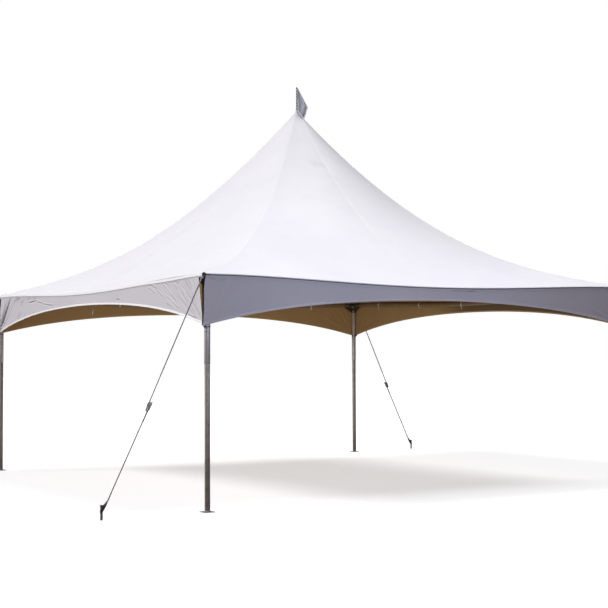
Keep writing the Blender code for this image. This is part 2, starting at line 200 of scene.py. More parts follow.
def lightWorld():  # white to the camera, a soft dome to everything else
    world = bpy.data.worlds.new("studio")
    bpy.context.scene.world = world
    world.use_nodes = True
    tree = world.node_tree
    tree.nodes.clear()
    place = tree.nodes.new("ShaderNodeTexCoord")
    split = tree.nodes.new("ShaderNodeSeparateXYZ")
    ramp = tree.nodes.new("ShaderNodeValToRGB")
    rise = tree.nodes.new("ShaderNodeMapRange")
    rise.inputs["From Min"].default_value = -1.0
    ramp.color_ramp.elements[0].position = lightSet["groundTo"]
    ramp.color_ramp.elements[0].color = (*lightSet["groundLow"], 1.0)
    ramp.color_ramp.elements[1].position = 1.0
    ramp.color_ramp.elements[1].color = (*lightSet["skyAbove"], 1.0)
    middle = ramp.color_ramp.elements.new(lightSet["lowAt"])
    middle.color = (*lightSet["skyLow"], 1.0)
    dome = tree.nodes.new("ShaderNodeBackground")
    backdrop = tree.nodes.new("ShaderNodeBackground")
    backdrop.inputs["Color"].default_value = (1.0, 1.0, 1.0, 1.0)
    lightPath = tree.nodes.new("ShaderNodeLightPath")
    mix = tree.nodes.new("ShaderNodeMixShader")
    output = tree.nodes.new("ShaderNodeOutputWorld")
    link = tree.links.new
    link(place.outputs["Generated"], split.inputs["Vector"])
    link(split.outputs["Z"], rise.inputs["Value"])
    link(rise.outputs["Result"], ramp.inputs["Fac"])
    link(ramp.outputs["Color"], dome.inputs["Color"])
    link(lightPath.outputs["Is Camera Ray"], mix.inputs["Fac"])
    link(dome.outputs["Background"], mix.inputs[1])
    link(backdrop.outputs["Background"], mix.inputs[2])
    link(mix.outputs["Shader"], output.inputs["Surface"])


aimCamera()
for lampName in ("key", "top"):
    addSun(lampName)
for lampName in ("fill", "edge", "mirrored", "bounce"):
    addPanel(lampName)
lightWorld()
bpy.context.scene.view_settings.view_transform = "Standard"
print("camera and lights set")

# finishes


class Term:  # a shader socket that takes part in Python arithmetic
    def __init__(self, finish, socket):
        self.finish = finish
        self.socket = socket

    def maths(self, operation, first, second):
        return self.finish.node("Math", {"operation": operation}, [first, second])

    def __add__(self, other):
        return self.maths("ADD", self, other)

    def __radd__(self, other):
        return self.maths("ADD", other, self)

    def __sub__(self, other):
        return self.maths("SUBTRACT", self, other)

    def __rsub__(self, other):
        return self.maths("SUBTRACT", other, self)

    def __mul__(self, other):
        return self.maths("MULTIPLY", self, other)

    def __rmul__(self, other):
        return self.maths("MULTIPLY", other, self)


class Finish:
    def __init__(self, name, **constants):
        self.material = bpy.data.materials.new(name)
        self.material.use_nodes = True
        self.tree = self.material.node_tree
        self.shader = self.tree.nodes["Principled BSDF"]
        for socket, value in constants.items():
            self.shader.inputs[socket.replace("_", " ")].default_value = value

    def node(self, kind, settings=None, values=(), out=0):
        made = self.tree.nodes.new("ShaderNode" + kind)
        for key, value in (settings or {}).items():
            setattr(made, key, value)
        pairs = values.items() if isinstance(values, dict) else enumerate(values)
        for key, value in pairs:
            self.feed(made.inputs[key], value)
        return Term(self, made.outputs[out])

    def feed(self, socket, value):
        if isinstance(value, Term):
            self.tree.links.new(value.socket, socket)
        else:
            socket.default_value = value

    def noise(self, scale, detail=3.0, rough=0.55, stretch=None):
        where = self.node("TexCoord", {}, (), "Object")
        if stretch:
            where = self.node("Mapping", {}, {"Vector": where, "Scale": stretch})
        values = {"Vector": where, "Scale": scale, "Detail": detail, "Roughness": rough}
        return self.node("TexNoise", {}, values)

    def threads(self, direction, scale):  # on the piece's own UV map, in metres
        grid = self.node("TexCoord", {}, (), "UV")
        return self.node("TexWave", {"bands_direction": direction}, {"Vector": grid, "Scale": scale})

    def clamp(self, value, low, high):
        return self.node("MapRange", {}, {"Value": value, "From Min": low, "From Max": high})

    def blend(self, factor, first, second):
        def colour(value):
            return (*value, 1.0) if isinstance(value, tuple) else value
        return self.node("Mix", {"data_type": "RGBA"}, {0: factor, 6: colour(first), 7: colour(second)}, 2)

    def bump(self, height, distance, strength):
        normal = self.node("Bump", {}, {"Strength": strength, "Distance": distance, "Height": height})
        self.feed(self.shader.inputs["Normal"], normal)

    def wear(self, **sockets):
        for socket, value in sockets.items():
            self.feed(self.shader.inputs[socket.replace("_", " ")], value)
        return self.material


vinylSet = {
    "scrim": 105.0,          # scale of its threads
    "cloudSize": 0.9,
    "dustSize": 5.5,
    "rippleSize": 38.0,
    "dustTint": 0.16,
    "dustShade": 0.86,
    "dustRough": 0.18,
    "cloudRough": 0.08,
    "bump": (0.0012, 0.35),  # distance and strength
}
metalSet = {
    "blotchSize": 14.0,
    "streak": (260.0, 260.0, 5.0),  # fine across, long up the piece
    "speckSize": 210.0,
    "soilSize": 6.0,
    "bump": (0.0004, 0.5),
}
webbingSet = {
    "across": 121.6,         # scales of the two ways of the weave
    "lengthwise": 212.8,
    "fadeSize": 22.0,
    "bump": (0.0007, 0.8),
}


def vinylFinish(name, light, shade, roughness, grimeAndPaintedShade=None, mark="creased", glow=0.0):
    # coated polyester: a fine scrim under the coating, faint dust in patches; where a shade colour is given,
    # painted shade comes in by the mark attribute (dark crease lines, a darker lining); glow is painted
    # light
    finish = Finish(name, Specular_IOR_Level=0.35, Sheen_Weight=0.10, Emission_Strength=glow)
    cloud = finish.noise(vinylSet["cloudSize"], 4.0)
    dust = finish.clamp(finish.noise(vinylSet["dustSize"], 6.0, 0.65), 0.52, 0.80)
    dusty = tuple(vinylSet["dustShade"] * part for part in shade)
    colour = finish.blend(finish.clamp(cloud, 0.35, 0.70), light, shade)
    colour = finish.blend(dust * vinylSet["dustTint"], colour, dusty)
    # painted shade: the mark attribute darkens the colour towards the given shade colour
    if grimeAndPaintedShade:
        marked = finish.node("Attribute", {"attribute_name": mark}, (), "Fac")
        colour = finish.blend(marked, colour, grimeAndPaintedShade)
    scrim = finish.threads("X", vinylSet["scrim"]) * finish.threads("Y", vinylSet["scrim"])
    ripple = finish.noise(vinylSet["rippleSize"], 3.0)
    finish.bump(scrim * 0.10 + ripple * 0.35 + cloud, *vinylSet["bump"])
    rough = roughness + dust * vinylSet["dustRough"] + cloud * vinylSet["cloudRough"]
    return finish.wear(Base_Color=colour, Roughness=rough)


roofVinyl = vinylFinish("roofVinyl", (0.84, 0.835, 0.87), (0.80, 0.795, 0.84), 0.42)
# its dark colour is painted shade along the creases
valanceVinyl = vinylFinish("valanceVinyl", (0.85, 0.84, 0.89), (0.81, 0.80, 0.85), 0.46, (0.31, 0.30, 0.35))
# the white vinyl's underside, tan and darker: painted shade and painted warm bounce; its dim mark darkens
# the right side's more
undersidePaintedShade = vinylFinish("undersidePaintedShade", (0.51, 0.355, 0.175), (0.45, 0.31, 0.15), 0.60,
                          (0.185, 0.138, 0.080), "dim")
seamVinyl = vinylFinish("seamVinyl", (0.86, 0.855, 0.89), (0.82, 0.815, 0.86), 0.38)
capVinyl = vinylFinish("capVinyl", (0.88, 0.875, 0.90), (0.82, 0.81, 0.85), 0.36)
# white cloth coloured greyer and bluer: painted shade
pennantCloth = vinylFinish("pennantCloth", (0.66, 0.68, 0.76), (0.60, 0.62, 0.70), 0.70)
# white tape whose glow is painted light, brighter than the lamps make it
hemWhitePaintedGlow = vinylFinish("hemWhitePaintedGlow", (0.93, 0.93, 0.96), (0.90, 0.90, 0.93), 0.36, glow=0.09)
# the left fold's band: the roof's white with a stronger glow, painted light
foldPaintedGlow = vinylFinish("foldPaintedGlow", (0.93, 0.93, 0.96), (0.90, 0.90, 0.93), 0.36, glow=0.15)
# dark vinyl on the groove's faces under the fold: painted shade of the recess
groovePaintedShade = vinylFinish("groovePaintedShade", (0.30, 0.29, 0.33), (0.24, 0.23, 0.27), 0.60)


def metalFinish(name, light, dark, roughness, metallic, grimeAndPaintedShade=(0.10, 0.09, 0.075)):
    # drawn or rolled metal gone dull: fine streaks along it, blotches, a little grime in patches and specks
    finish = Finish(name)
    blotch = finish.clamp(finish.noise(metalSet["blotchSize"], 5.0, 0.6), 0.35, 0.70)
    streak = finish.noise(1.0, 3.0, 0.5, metalSet["streak"])
    speck = finish.clamp(finish.noise(metalSet["speckSize"], 2.0), 0.60, 0.78)
    tone = finish.clamp(streak * 0.6 + blotch * 0.4, 0.25, 0.75)
    low = finish.clamp(finish.noise(metalSet["soilSize"], 6.0, 0.7), 0.55, 0.80)
    soil = low * 0.45 + speck * 0.30
    colour = finish.blend(soil, finish.blend(tone, dark, light), grimeAndPaintedShade)
    finish.bump(streak * 0.5 + speck * 0.8 + blotch * 0.3, *metalSet["bump"])
    return finish.wear(Base_Color=colour, Metallic=metallic - soil * 0.5,
                       Roughness=roughness + soil * 0.25 + blotch * 0.08)


def webbingFinish(name, light, dark, roughness):
    # woven tape: ribs across it in its own UV map, metres along and across
    finish = Finish(name, Sheen_Weight=0.25, Sheen_Roughness=0.5)
    across = finish.threads("X", webbingSet["across"])
    lengthwise = finish.threads("Y", webbingSet["lengthwise"])
    weave = across * 0.6 + lengthwise * 0.4
    fade = finish.clamp(finish.noise(webbingSet["fadeSize"], 4.0), 0.35, 0.70)
    colour = finish.blend(finish.clamp(weave * 0.6 + fade * 0.5, 0.1, 1.0), dark, light)
    finish.bump(weave, *webbingSet["bump"])
    return finish.wear(Base_Color=colour, Roughness=roughness + fade * 0.10)


tubeAluminium = metalFinish("tubeAluminium", (0.64, 0.635, 0.64), (0.46, 0.455, 0.465), 0.40, 0.45)
# the eave tubes' aluminium coloured dark brown: painted shade with painted warm bounce light
eavePaintedShade = metalFinish("eavePaintedShade", (0.34, 0.260, 0.155), (0.24, 0.180, 0.105), 0.46, 0.35)
# the finial pole's aluminium coloured near black: painted shade between the pennant's laces
polePaintedShade = metalFinish("polePaintedShade", (0.17, 0.17, 0.21), (0.10, 0.10, 0.13), 0.40, 0.45)
legAluminium = metalFinish("legAluminium", (0.72, 0.715, 0.725), (0.56, 0.55, 0.555), 0.40, 0.65,
                           (0.28, 0.23, 0.17))
legLowerAluminium = metalFinish("legLowerAluminium", (0.51, 0.48, 0.45), (0.37, 0.34, 0.31), 0.42, 0.65,
                                (0.20, 0.15, 0.09))
fittingSteel = metalFinish("fittingSteel", (0.125, 0.102, 0.072), (0.055, 0.041, 0.025), 0.50, 0.30,
                           (0.060, 0.036, 0.018))
plateSteel = metalFinish("plateSteel", (0.42, 0.42, 0.43), (0.28, 0.28, 0.29), 0.45, 0.60)
boltZinc = metalFinish("boltZinc", (0.62, 0.61, 0.58), (0.45, 0.44, 0.42), 0.32, 0.85)
# steel buttons coloured near white: a painted glint; the rings round them darker and bluer: painted shade
buttonPaintedGlint = metalFinish("buttonPaintedGlint", (0.96, 0.96, 0.97), (0.92, 0.92, 0.93), 0.30, 0.05)
buttonRingPaintedShade = metalFinish("buttonRingPaintedShade", (0.40, 0.42, 0.50), (0.25, 0.27, 0.33), 0.40, 0.45)
ropeSteel = metalFinish("ropeSteel", (0.46, 0.46, 0.47), (0.24, 0.24, 0.25), 0.38, 0.80)
stakeSteel = metalFinish("stakeSteel", (0.30, 0.29, 0.28), (0.16, 0.15, 0.14), 0.50, 0.60,
                         (0.14, 0.075, 0.035))
darkWebbing = webbingFinish("darkWebbing", (0.095, 0.070, 0.045), (0.040, 0.028, 0.016), 0.80)
# bluish grey webbing: on the corner tabs, painted shade on white webbing
greyWebbingPaintedShade = webbingFinish("greyWebbingPaintedShade", (0.36, 0.37, 0.41), (0.22, 0.23, 0.27), 0.75)
guyWebbing = webbingFinish("guyWebbing", (0.062, 0.058, 0.060), (0.030, 0.028, 0.029), 0.80)
whiteWebbing = webbingFinish("whiteWebbing", (0.88, 0.88, 0.90), (0.74, 0.74, 0.77), 0.70)
# white tie webbing coloured greyer: painted shade under the canopy
tieWebbingPaintedShade = webbingFinish("tieWebbingPaintedShade", (0.76, 0.75, 0.78), (0.60, 0.59, 0.62), 0.75)
print("finishes made")

# the fabric top

roofSet = {
    "columns": 112,          # along each eave
    "rows": 60,              # from the peak to the fold
    "rowPower": 1.1,         # rows are closer towards the peak
    "bunch": 0.22,           # columns are closer towards the hips
    "merge": 0.0004,
    "foldRadius": 0.011,
    "sag": 0.012,            # how far the left fold hangs by the guyed corner
    "sagAt": (2.20, 0.45),   # along the side, and how wide
    "sagFrom": (2.5, 0.5),   # out from the mast, and how far it takes to grow
    "roll": 0.28,            # the left fold rolls out over its tube instead of turning down
    "rollEnds": 0.12,
    "white": (0.0050, 0.0240),  # depths where the rolled band takes the white with painted glow, below the roof's line
    "foldRows": 6,
    "grooveDepth": 0.0080,   # the welded seam under the fold, where the valance starts
    "grooveHeight": 0.0092,
    "lip": 0.026,            # below the fold, outside the valance's top
    "grooveFaces": (0.0095, 0.0004),  # the groove's faces, in from the fold's plane
    "cornerSlit": 0.014,     # how far the fold is cut back at a corner
    "slitFrom": 0.35,        # and from which share of its bend
    "thickness": 0.0012,
}
grooveIn, grooveHigh, lipLow = (roofSet[key] for key in ("grooveDepth", "grooveHeight", "lip"))
lipShape = [(0.0, 0.0012), (grooveIn, 0.0018), (grooveIn, 0.0018 + grooveHigh), (0.0, 0.0026 + grooveHigh),
            (0.0, 0.5 * (lipLow + grooveHigh)), (0.0, lipLow)]  # inward and down from the fold
rollShape = [(-0.0014, 0.0062), (-0.0030, 0.0124), (-0.0040, 0.0186), (-0.0005, 0.0200),
             (0.0, 0.0250), (0.0, 0.0306)]  # the same on the left


def leftSag(s, outward):
    middle, width = roofSet["sagAt"]
    start, grow = roofSet["sagFrom"]
    return roofSet["sag"] * math.exp(-((s - middle) / width) ** 2) * smooth((outward - start) / grow)


def spread(u, ends):  # moves grid lines towards the ends of a side, where the folds are
    return u * (1.0 + ends - ends * u * u)


def roofPlace(side):
    def place(u, v):
        across = spread(u, roofSet["bunch"])
        rowsAll = roofSet["rows"] + roofSet["foldRows"] + len(lipShape)
        row = round(v * rowsAll)
        radius = roofSet["foldRadius"]
        flatEnd = tent["half"] - radius
        if row <= roofSet["rows"]:
            share = (row / roofSet["rows"]) ** roofSet["rowPower"]
            outward = tent["peakHole"] + (flatEnd - tent["peakHole"]) * share
            x = across * outward
            return Vector((x, -outward, roofHeight(x, outward)))
        bend = min((row - roofSet["rows"]) / roofSet["foldRows"], 1.0)
        free = (1.0 - abs(across)) * flatEnd / roofSet["rollEnds"]
        rolled = min(free, 1.0) if side == "left" else 0.0
        angle = bend * math.pi / 2 * (1.0 - roofSet["roll"] * rolled)
        outward = flatEnd + radius * math.sin(angle)
        slitFrom = roofSet["slitFrom"]
        cut = roofSet["cornerSlit"] * max(bend - slitFrom, 0.0) / (1.0 - slitFrom)
        x = across * (outward - cut)
        z = roofHeight(x, outward) - radius * (1.0 - math.cos(angle))
        below = row - roofSet["rows"] - roofSet["foldRows"]
        if side == "left":
            z -= leftSag(x, outward)
        if below > 0:
            inward, down = lipShape[below - 1]
            if side == "left":
                inward = rollShape[below - 1][0] * rolled
                down += (rollShape[below - 1][1] - down) * rolled
            outward -= inward
            z -= down
        return Vector((x, -outward, z))
    return place


def gridSheet(name, columns, rows, place, turn=0):
    # a grid primitive laid out by place(u, v): u from -1 to 1 along, v from 0 to 1 down
    deselectAll()
    bpy.ops.mesh.primitive_grid_add(x_subdivisions=columns, y_subdivisions=rows, size=2.0)
    sheet = bpy.context.object
    sheet.name = name
    uvs = sheet.data.uv_layers.active.data
    spin = Matrix.Rotation(math.radians(turn), 4, "Z")
    flat = []
    for vert in sheet.data.vertices:
        u, v = vert.co.x, (1.0 - vert.co.y) / 2.0
        spot = place(u, v)
        flat.append((spot.x, spot.z + spot.y))  # metres along, and out and down
        vert.co = spin @ spot
    for loop in sheet.data.loops:
        uvs[loop.index].uv = flat[loop.vertex_index]
    return sheet


def joinPieces(pieces, merge=0.0):
    deselectAll()
    for piece in pieces:
        piece.select_set(True)
    bpy.context.view_layer.objects.active = pieces[0]
    bpy.ops.object.join()
    whole = bpy.context.object
    if merge:
        bpy.ops.object.mode_set(mode="EDIT")
        bpy.ops.mesh.select_all(action="SELECT")
        bpy.ops.mesh.remove_doubles(threshold=merge)
        bpy.ops.object.mode_set(mode="OBJECT")
    return whole


def applyModifiers(obj):
    pick(obj)
    for modifier in list(obj.modifiers):
        bpy.ops.object.modifier_apply(modifier=modifier.name)


def thicken(obj, thickness, outer, inner=None):
    obj.data.materials.clear()
    obj.data.materials.append(outer)
    if inner:
        obj.data.materials.append(inner)
    wall = obj.modifiers.new("wall", "SOLIDIFY")
    wall.thickness = thickness
    wall.offset = -1.0
    wall.use_even_offset = True
    if inner:
        wall.material_offset = 1
    applyModifiers(obj)


def keep(obj, name, replaces=(), smoothAngle=40):
    obj.name = name
    obj.data.name = name
    pick(obj)
    bpy.ops.object.shade_smooth_by_angle(angle=math.radians(smoothAngle))
    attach(obj, "root")
    if replaces:
        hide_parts(*replaces)
    return obj


def buildRoof():
    total = roofSet["rows"] + roofSet["foldRows"] + len(lipShape)
    gores = [gridSheet("gore", roofSet["columns"], total, roofPlace(side), turn)
             for side, turn in sides.items()]
    roof = joinPieces(gores, merge=roofSet["merge"])
    slacken(roof)
    area = sum(face.area for face in roof.data.polygons)
    # the inner face takes the underside's painted shade
    thicken(roof, roofSet["thickness"], roofVinyl, undersidePaintedShade)
    # painted shade: the groove's faces under the fold take the dark vinyl
    roof.data.materials.append(groovePaintedShade)
    # painted light: the glowing white for the left fold's band
    roof.data.materials.append(foldPaintedGlow)
    whiteFrom, whiteTo = roofSet["white"]
    deepest, shallowest = (tent["half"] - inward for inward in roofSet["grooveFaces"])
    for face in roof.data.polygons:
        spot = face.center
        outward = max(abs(spot.x), abs(spot.y))
        if face.material_index or outward < tent["half"] - roofSet["foldRadius"]:
            continue
        drop = roofHeight(max(spot.x, -tent["half"]), spot.y) - spot.z
        if spot.x < -abs(spot.y):
            drop -= leftSag(-spot.y, outward)
            # painted light: the left fold's band takes the glowing white
            if whiteFrom < drop < whiteTo:
                face.material_index = 3
        elif deepest < outward < shallowest and drop > roofSet["foldRadius"]:
            face.material_index = 2
    keep(roof, "canopyRoof", [f"roof_panel_{side}" for side in sides])
    return roof, area


canopyRoof, roofArea = buildRoof()
print("roof made,", round(roofArea, 2), "square metres")

# valances

valanceSet = {
    "columns": {"front": 380, "right": 320, "back": 320, "left": 560},
    "rows": {"front": 50, "right": 40, "back": 40, "left": 84},
    # where the left side's columns stand, closest at its creases
    "bunched": [(-1.0, -1.0), (-0.525, -0.77), (-0.225, -0.43), (0.286, 0.60), (1.0, 1.0)],
    "behindLip": 0.0022,     # outer face behind the roof's lip
    "topHidden": 0.014,      # how far the top runs up behind the lip
    "thickness": 0.0010,
    "insetLow": {"front": -0.015, "back": 0.004, "left": 0.052, "right": 0.045},
    "insetTop": {"front": 0.003, "back": 0.006, "left": 0.140, "right": 0.060},
    "billow": 0.010,         # how far the hem wanders in and out
    "gather": 0.0022,        # puckers under the lip
    "gatherReach": 0.075,
    # strength of the painted shade along the valances' creases
    "grimeAndPaintedShade": 0.88,
    "crumple": 0.0020,       # fine diagonal creases beside the guyed corner
    "flare": {"front": 0.0028, "right": 0.007, "back": 0.007, "left": 0.0085},  # the hem stands out
    "flareReach": 0.021,
    "endFlare": 0.0085,      # and so does the binding of the left side's near slit
    "dimFrom": 1.05,         # painted shade: the right side's underside darkens from here
    "dimTo": 0.0,
    "insetKnee": {"front": 0.28},   # share of the height over which its inset changes
    "insetFoot": {"front": 0.013},  # the front's ends lean out at the foot
    "footFrom": 0.70,
    "fanCount": 7,           # creases that run up from each lower corner
    "fanAngle": (18, 50),    # from the lowest, and how far they spread
    "fanStart": (0.10, 0.30),
    "fanLength": (0.25, 0.60),
    "fanWidth": (0.012, 0.026),
    "fanVary": (0.5, 1.3),
    "fanDepth": {"front": 0.0007, "right": 0.0030, "back": 0.0024, "left": 0.0022},
    "seed": {"front": 4, "right": 9, "back": 15, "left": 21},
}
# Creases that stand out, each from one point to another along the side and up, with its
# half width and depth. Along runs to the right as each side is seen from outside.
creases = {
    "front": [
        (0.10, 2.352, 0.42, 2.342, 0.010, 0.0055),
        (0.40, 2.334, 0.62, 2.366, 0.009, 0.0065),
        (-3.02, 2.396, -2.93, 2.380, 0.007, 0.0014),
        (-2.90, 2.372, -2.82, 2.398, 0.007, 0.0018),
    ],
    "left": [
        (2.03, 2.408, 2.20, 2.312, 0.0060, 0.0046),
        (2.17, 2.328, 2.42, 2.172, 0.0065, 0.0050),
        (2.15, 2.250, 2.45, 2.106, 0.0072, 0.0066),
        (2.12, 2.398, 2.27, 2.336, 0.0050, 0.0028),
        (2.29, 2.408, 2.45, 2.304, 0.0055, 0.0042),
        (2.33, 2.415, 2.46, 2.354, 0.0050, 0.0034),
        (2.40, 2.415, 2.49, 2.364, 0.0050, 0.0032),
        (2.51, 2.358, 2.74, 2.190, 0.0065, 0.0064),
        (2.52, 2.278, 2.68, 2.142, 0.0058, 0.0046),
        (2.58, 2.413, 2.67, 2.322, 0.0050, 0.0038),
        (2.61, 2.408, 2.72, 2.286, 0.0050, 0.0036),
        (2.645, 2.415, 2.75, 2.282, 0.0050, 0.0040),
        (2.685, 2.415, 2.78, 2.282, 0.0050, 0.0036),
        (2.76, 2.168, 2.94, 2.000, 0.0058, 0.0048),
        (2.73, 2.120, 2.82, 2.052, 0.0055, 0.0040),
        (2.16, 2.170, 2.33, 2.106, 0.0060, 0.0036),
        (2.70, 2.020, 2.89, 1.985, 0.0060, 0.0038),
        (1.76, 2.396, 1.95, 2.333, 0.0066, 0.0062),
        (1.76, 2.346, 1.92, 2.275, 0.0066, 0.0060),
        (1.92, 2.330, 2.16, 2.202, 0.0070, 0.0036),
        (-2.52, 2.420, -2.99, 1.940, 0.013, 0.0190),
        (-2.66, 2.400, -3.02, 1.960, 0.012, 0.0090),
        (-2.38, 2.360, -2.90, 1.980, 0.016, 0.0060),
        (-2.13, 2.400, -2.34, 2.340, 0.009, 0.0066),
        (-2.02, 2.370, -2.19, 2.285, 0.009, 0.0066),
        (-2.26, 2.400, -2.44, 2.330, 0.009, 0.0050),
        (-2.12, 2.190, -2.32, 2.100, 0.010, 0.0050),
        (-1.78, 2.372, -1.96, 2.350, 0.008, 0.0050),
        (-1.57, 2.376, -1.74, 2.350, 0.008, 0.0052),
        (-1.88, 2.318, -1.60, 2.334, 0.009, 0.0056),
        (-1.54, 2.316, -1.38, 2.290, 0.008, 0.0064),
        (-1.36, 2.284, -1.00, 2.250, 0.009, 0.0036),
        (0.90, 2.262, 0.99, 2.254, 0.008, 0.0060),
    ],
    "right": [],
    "back": [],
}


def fanCreases(side):  # lighter creases of the same kind, scattered at both lower corners
    draw = random.Random(valanceSet["seed"][side])
    found = []
    for end in (-1, 1):
        for index in range(valanceSet["fanCount"]):
            lowest, fan = valanceSet["fanAngle"]
            angle = math.radians(lowest + fan * (index + draw.random()) / valanceSet["fanCount"])
            start = draw.uniform(*valanceSet["fanStart"])
            length = draw.uniform(*valanceSet["fanLength"])
            cornerS, cornerZ = end * 3.04, tent["hemCornerZ"]
            near = (cornerS - end * start * math.cos(angle), cornerZ + start * math.sin(angle))
            reach = start + length
            far = (cornerS - end * reach * math.cos(angle), cornerZ + reach * math.sin(angle))
            depth = valanceSet["fanDepth"][side] * draw.uniform(*valanceSet["fanVary"])
            found.append((*far, *near, draw.uniform(*valanceSet["fanWidth"]), depth))
    return found


for side in sides:
    creases[side] = creases[side] + fanCreases(side)


def besideCrease(crease, s, z):  # the share of its length passed, and how far off to its side
    s1, z1, s2, z2 = crease[:4]
    runS, runZ = s2 - s1, z2 - z1
    length = math.hypot(runS, runZ)
    share = ((s - s1) * runS + (z - z1) * runZ) / length ** 2
    return share, ((s - s1) * runZ - (z - z1) * runS) / length


def creaseHeight(crease, s, z):  # a ridge with a groove beside it, fading at both ends
    width, depth = crease[4:]
    share, off = besideCrease(crease, s, z)
    if not -0.1 < share < 1.1 or abs(off) > 4.5 * width:
        return 0.0
    fade = math.sin(math.pi * min(max(0.06 + 0.88 * share, 0.0), 1.0)) ** 0.7
    ridge = math.exp(-(off / width) ** 2)
    groove = math.exp(-((off - 1.7 * width) / width) ** 2)
    return depth * fade * (ridge - 0.8 * groove)


def creaseLine(crease, s, z):  # from 0 to 1 along the foot of a crease's ridge, where painted shade darkens the valance
    width, depth = crease[4:]
    share, off = besideCrease(crease, s, z)
    if not 0.0 < share < 1.0 or abs(off) > 3.0 * width:
        return 0.0
    strength = min(depth / 0.0060, 1.0) * min(0.0065 / width, 1.0)
    return strength * math.sin(math.pi * share) ** 0.6 * math.exp(-((off - 0.9 * width) / 0.0085) ** 2)


def markCreases(sheet, side):
    # the sheet is still flat to its own side here: x along, z up
    # painted shade: how dark each point is along the creases' lines
    lines = sheet.data.attributes.new("creased", "FLOAT", "POINT").data
    for vert in sheet.data.vertices:
        s, z = vert.co.x, vert.co.z
        near = [crease for crease in creases[side] if abs(s - (crease[0] + crease[2]) / 2) < 0.40]
        total = sum(creaseLine(crease, s, z) for crease in near)
        lines[vert.index].value = valanceSet["grimeAndPaintedShade"] * min(total, 1.0)
    # painted shade: the right side's underside darkens towards its front
    if side == "right":
        dim = sheet.data.attributes.new("dim", "FLOAT", "POINT").data
        start, end = valanceSet["dimFrom"], valanceSet["dimTo"]
        for vert in sheet.data.vertices:
            dim[vert.index].value = smooth((start - vert.co.x) / (start - end))


def valanceRelief(side, s, z, top, low):
    near = [crease for crease in creases[side] if abs(s - (crease[0] + crease[2]) / 2) < 0.75]
    relief = sum(creaseHeight(crease, s, z) for crease in near)
    seed = valanceSet["seed"][side]
    down = (top - z) / (top - low)
    relief += valanceSet["billow"] * down ** 1.6 * noise.noise((s * 1.1, seed, 0.4))
    relief += 0.25 * valanceSet["billow"] * down * noise.noise((s * 3.7, z * 2.0, seed))
    if side == "left" and s > 1.9:
        across, downhill = 0.60 * s + 0.80 * z, 0.80 * s - 0.60 * z
        fine = noise.noise((across * 62.0, downhill * 5.0, 3.0))
        fine += 0.6 * noise.noise((across * 34.0, downhill * 4.0, 8.0))
        relief += valanceSet["crumple"] * fine * min((s - 1.9) / 0.35, 1.0)
    under = max(1.0 - (top - z) / valanceSet["gatherReach"], 0.0)
    pucker = noise.noise((s * 11.0, z * 3.0, seed + 7.0)) + 0.5 * noise.noise((s * 27.0, z * 5.0, seed))
    relief += valanceSet["gather"] * pucker * (0.12 + 0.88 * under)
    held = min((tent["half"] - abs(s)) / 0.10, 1.0)  # laced to the leg at each end
    return relief * (0.25 + 0.75 * max(held, 0.0))


def valanceTop(s):
    return roofHeight(s, tent["half"]) - roofSet["foldRadius"] - roofSet["lip"] + valanceSet["topHidden"]


def valanceSpot(side, s, z, proud=0.0):
    top, low = valanceTop(s), hemHeight(s)
    hidden = min(max((top - z) / valanceSet["topHidden"], 0.0), 1.0)
    relief = valanceRelief(side, s, z, top, low) * hidden
    relief += valanceSet["flare"][side] * max(1.0 - (z - low) / valanceSet["flareReach"], 0.0)
    if side == "left" and s > 0.0:
        edge = tent["half"] - valanceInset(side, (top - z) / (top - low))
        atEnd = min(max(1.0 - (edge - s) / valanceSet["flareReach"], 0.0), 1.0)
        relief += valanceSet["endFlare"] * hidden * atEnd
    return Vector((s, -(tent["half"] - valanceSet["behindLip"] + relief + proud), z))


def valanceInset(side, v):  # how far its ends stand in from the corner, v from the top down
    top, low = valanceSet["insetTop"][side], valanceSet["insetLow"][side]
    start = valanceSet["footFrom"]
    foot = valanceSet["insetFoot"].get(side, 0.0) * max(v - start, 0.0) / (1.0 - start)
    return top + (low - top) * min(v / valanceSet["insetKnee"].get(side, 1.0), 1.0) - foot


def alongShare(side, u):  # where a column stands, from -1 to 1
    if side != "left":
        return spread(u, 0.35)
    for (u1, share1), (u2, share2) in zip(valanceSet["bunched"], valanceSet["bunched"][1:]):
        if u <= u2:
            return share1 + (share2 - share1) * (u - u1) / (u2 - u1)
    return 1.0


def buildValance(side, turn):
    def place(u, v):
        s = alongShare(side, u) * (tent["half"] - valanceInset(side, v))
        top, low = valanceTop(s), hemHeight(s)
        return valanceSpot(side, s, top + (low - top) * v)
    sheet = gridSheet("valance", valanceSet["columns"][side], valanceSet["rows"][side], place)
    markCreases(sheet, side)
    sheet.data.transform(Matrix.Rotation(math.radians(turn), 4, "Z"))
    area = sum(face.area for face in sheet.data.polygons)
    # the inner face takes the underside's painted shade
    thicken(sheet, valanceSet["thickness"], valanceVinyl, undersidePaintedShade)
    keep(sheet, "valance" + side.capitalize(), [f"valance_{side}"])
    return sheet, area


hemSet = {
    "width": 0.019,
    "proud": 0.0013,
    "columns": 400,
    "endRows": 60,
}


def sweepBand(name, spots, turn=0):
    # spots[i] is the closed cross-section at station i; both ends get a cap
    shape = bmesh.new()
    spin = Matrix.Rotation(math.radians(turn), 4, "Z")
    rings = [[shape.verts.new(spin @ Vector(spot)) for spot in ring] for ring in spots]
    uvLayer = shape.loops.layers.uv.new("UVMap")
    run = 0.0
    for here, there in zip(rings, rings[1:]):
        step = (there[0].co - here[0].co).length
        girth = 0.0
        for index in range(len(here)):
            nextIndex = (index + 1) % len(here)
            side = (here[nextIndex].co - here[index].co).length
            face = shape.faces.new((here[index], here[nextIndex], there[nextIndex], there[index]))
            for loop, uv in zip(face.loops, ((run, girth), (run, girth + side),
                                             (run + step, girth + side), (run + step, girth))):
                loop[uvLayer].uv = uv
            girth += side
        run += step
    shape.faces.new(rings[0][::-1])
    shape.faces.new(rings[-1])
    bmesh.ops.recalc_face_normals(shape, faces=shape.faces)
    mesh = bpy.data.meshes.new(name)
    shape.to_mesh(mesh)
    shape.free()
    return linked(name, mesh)


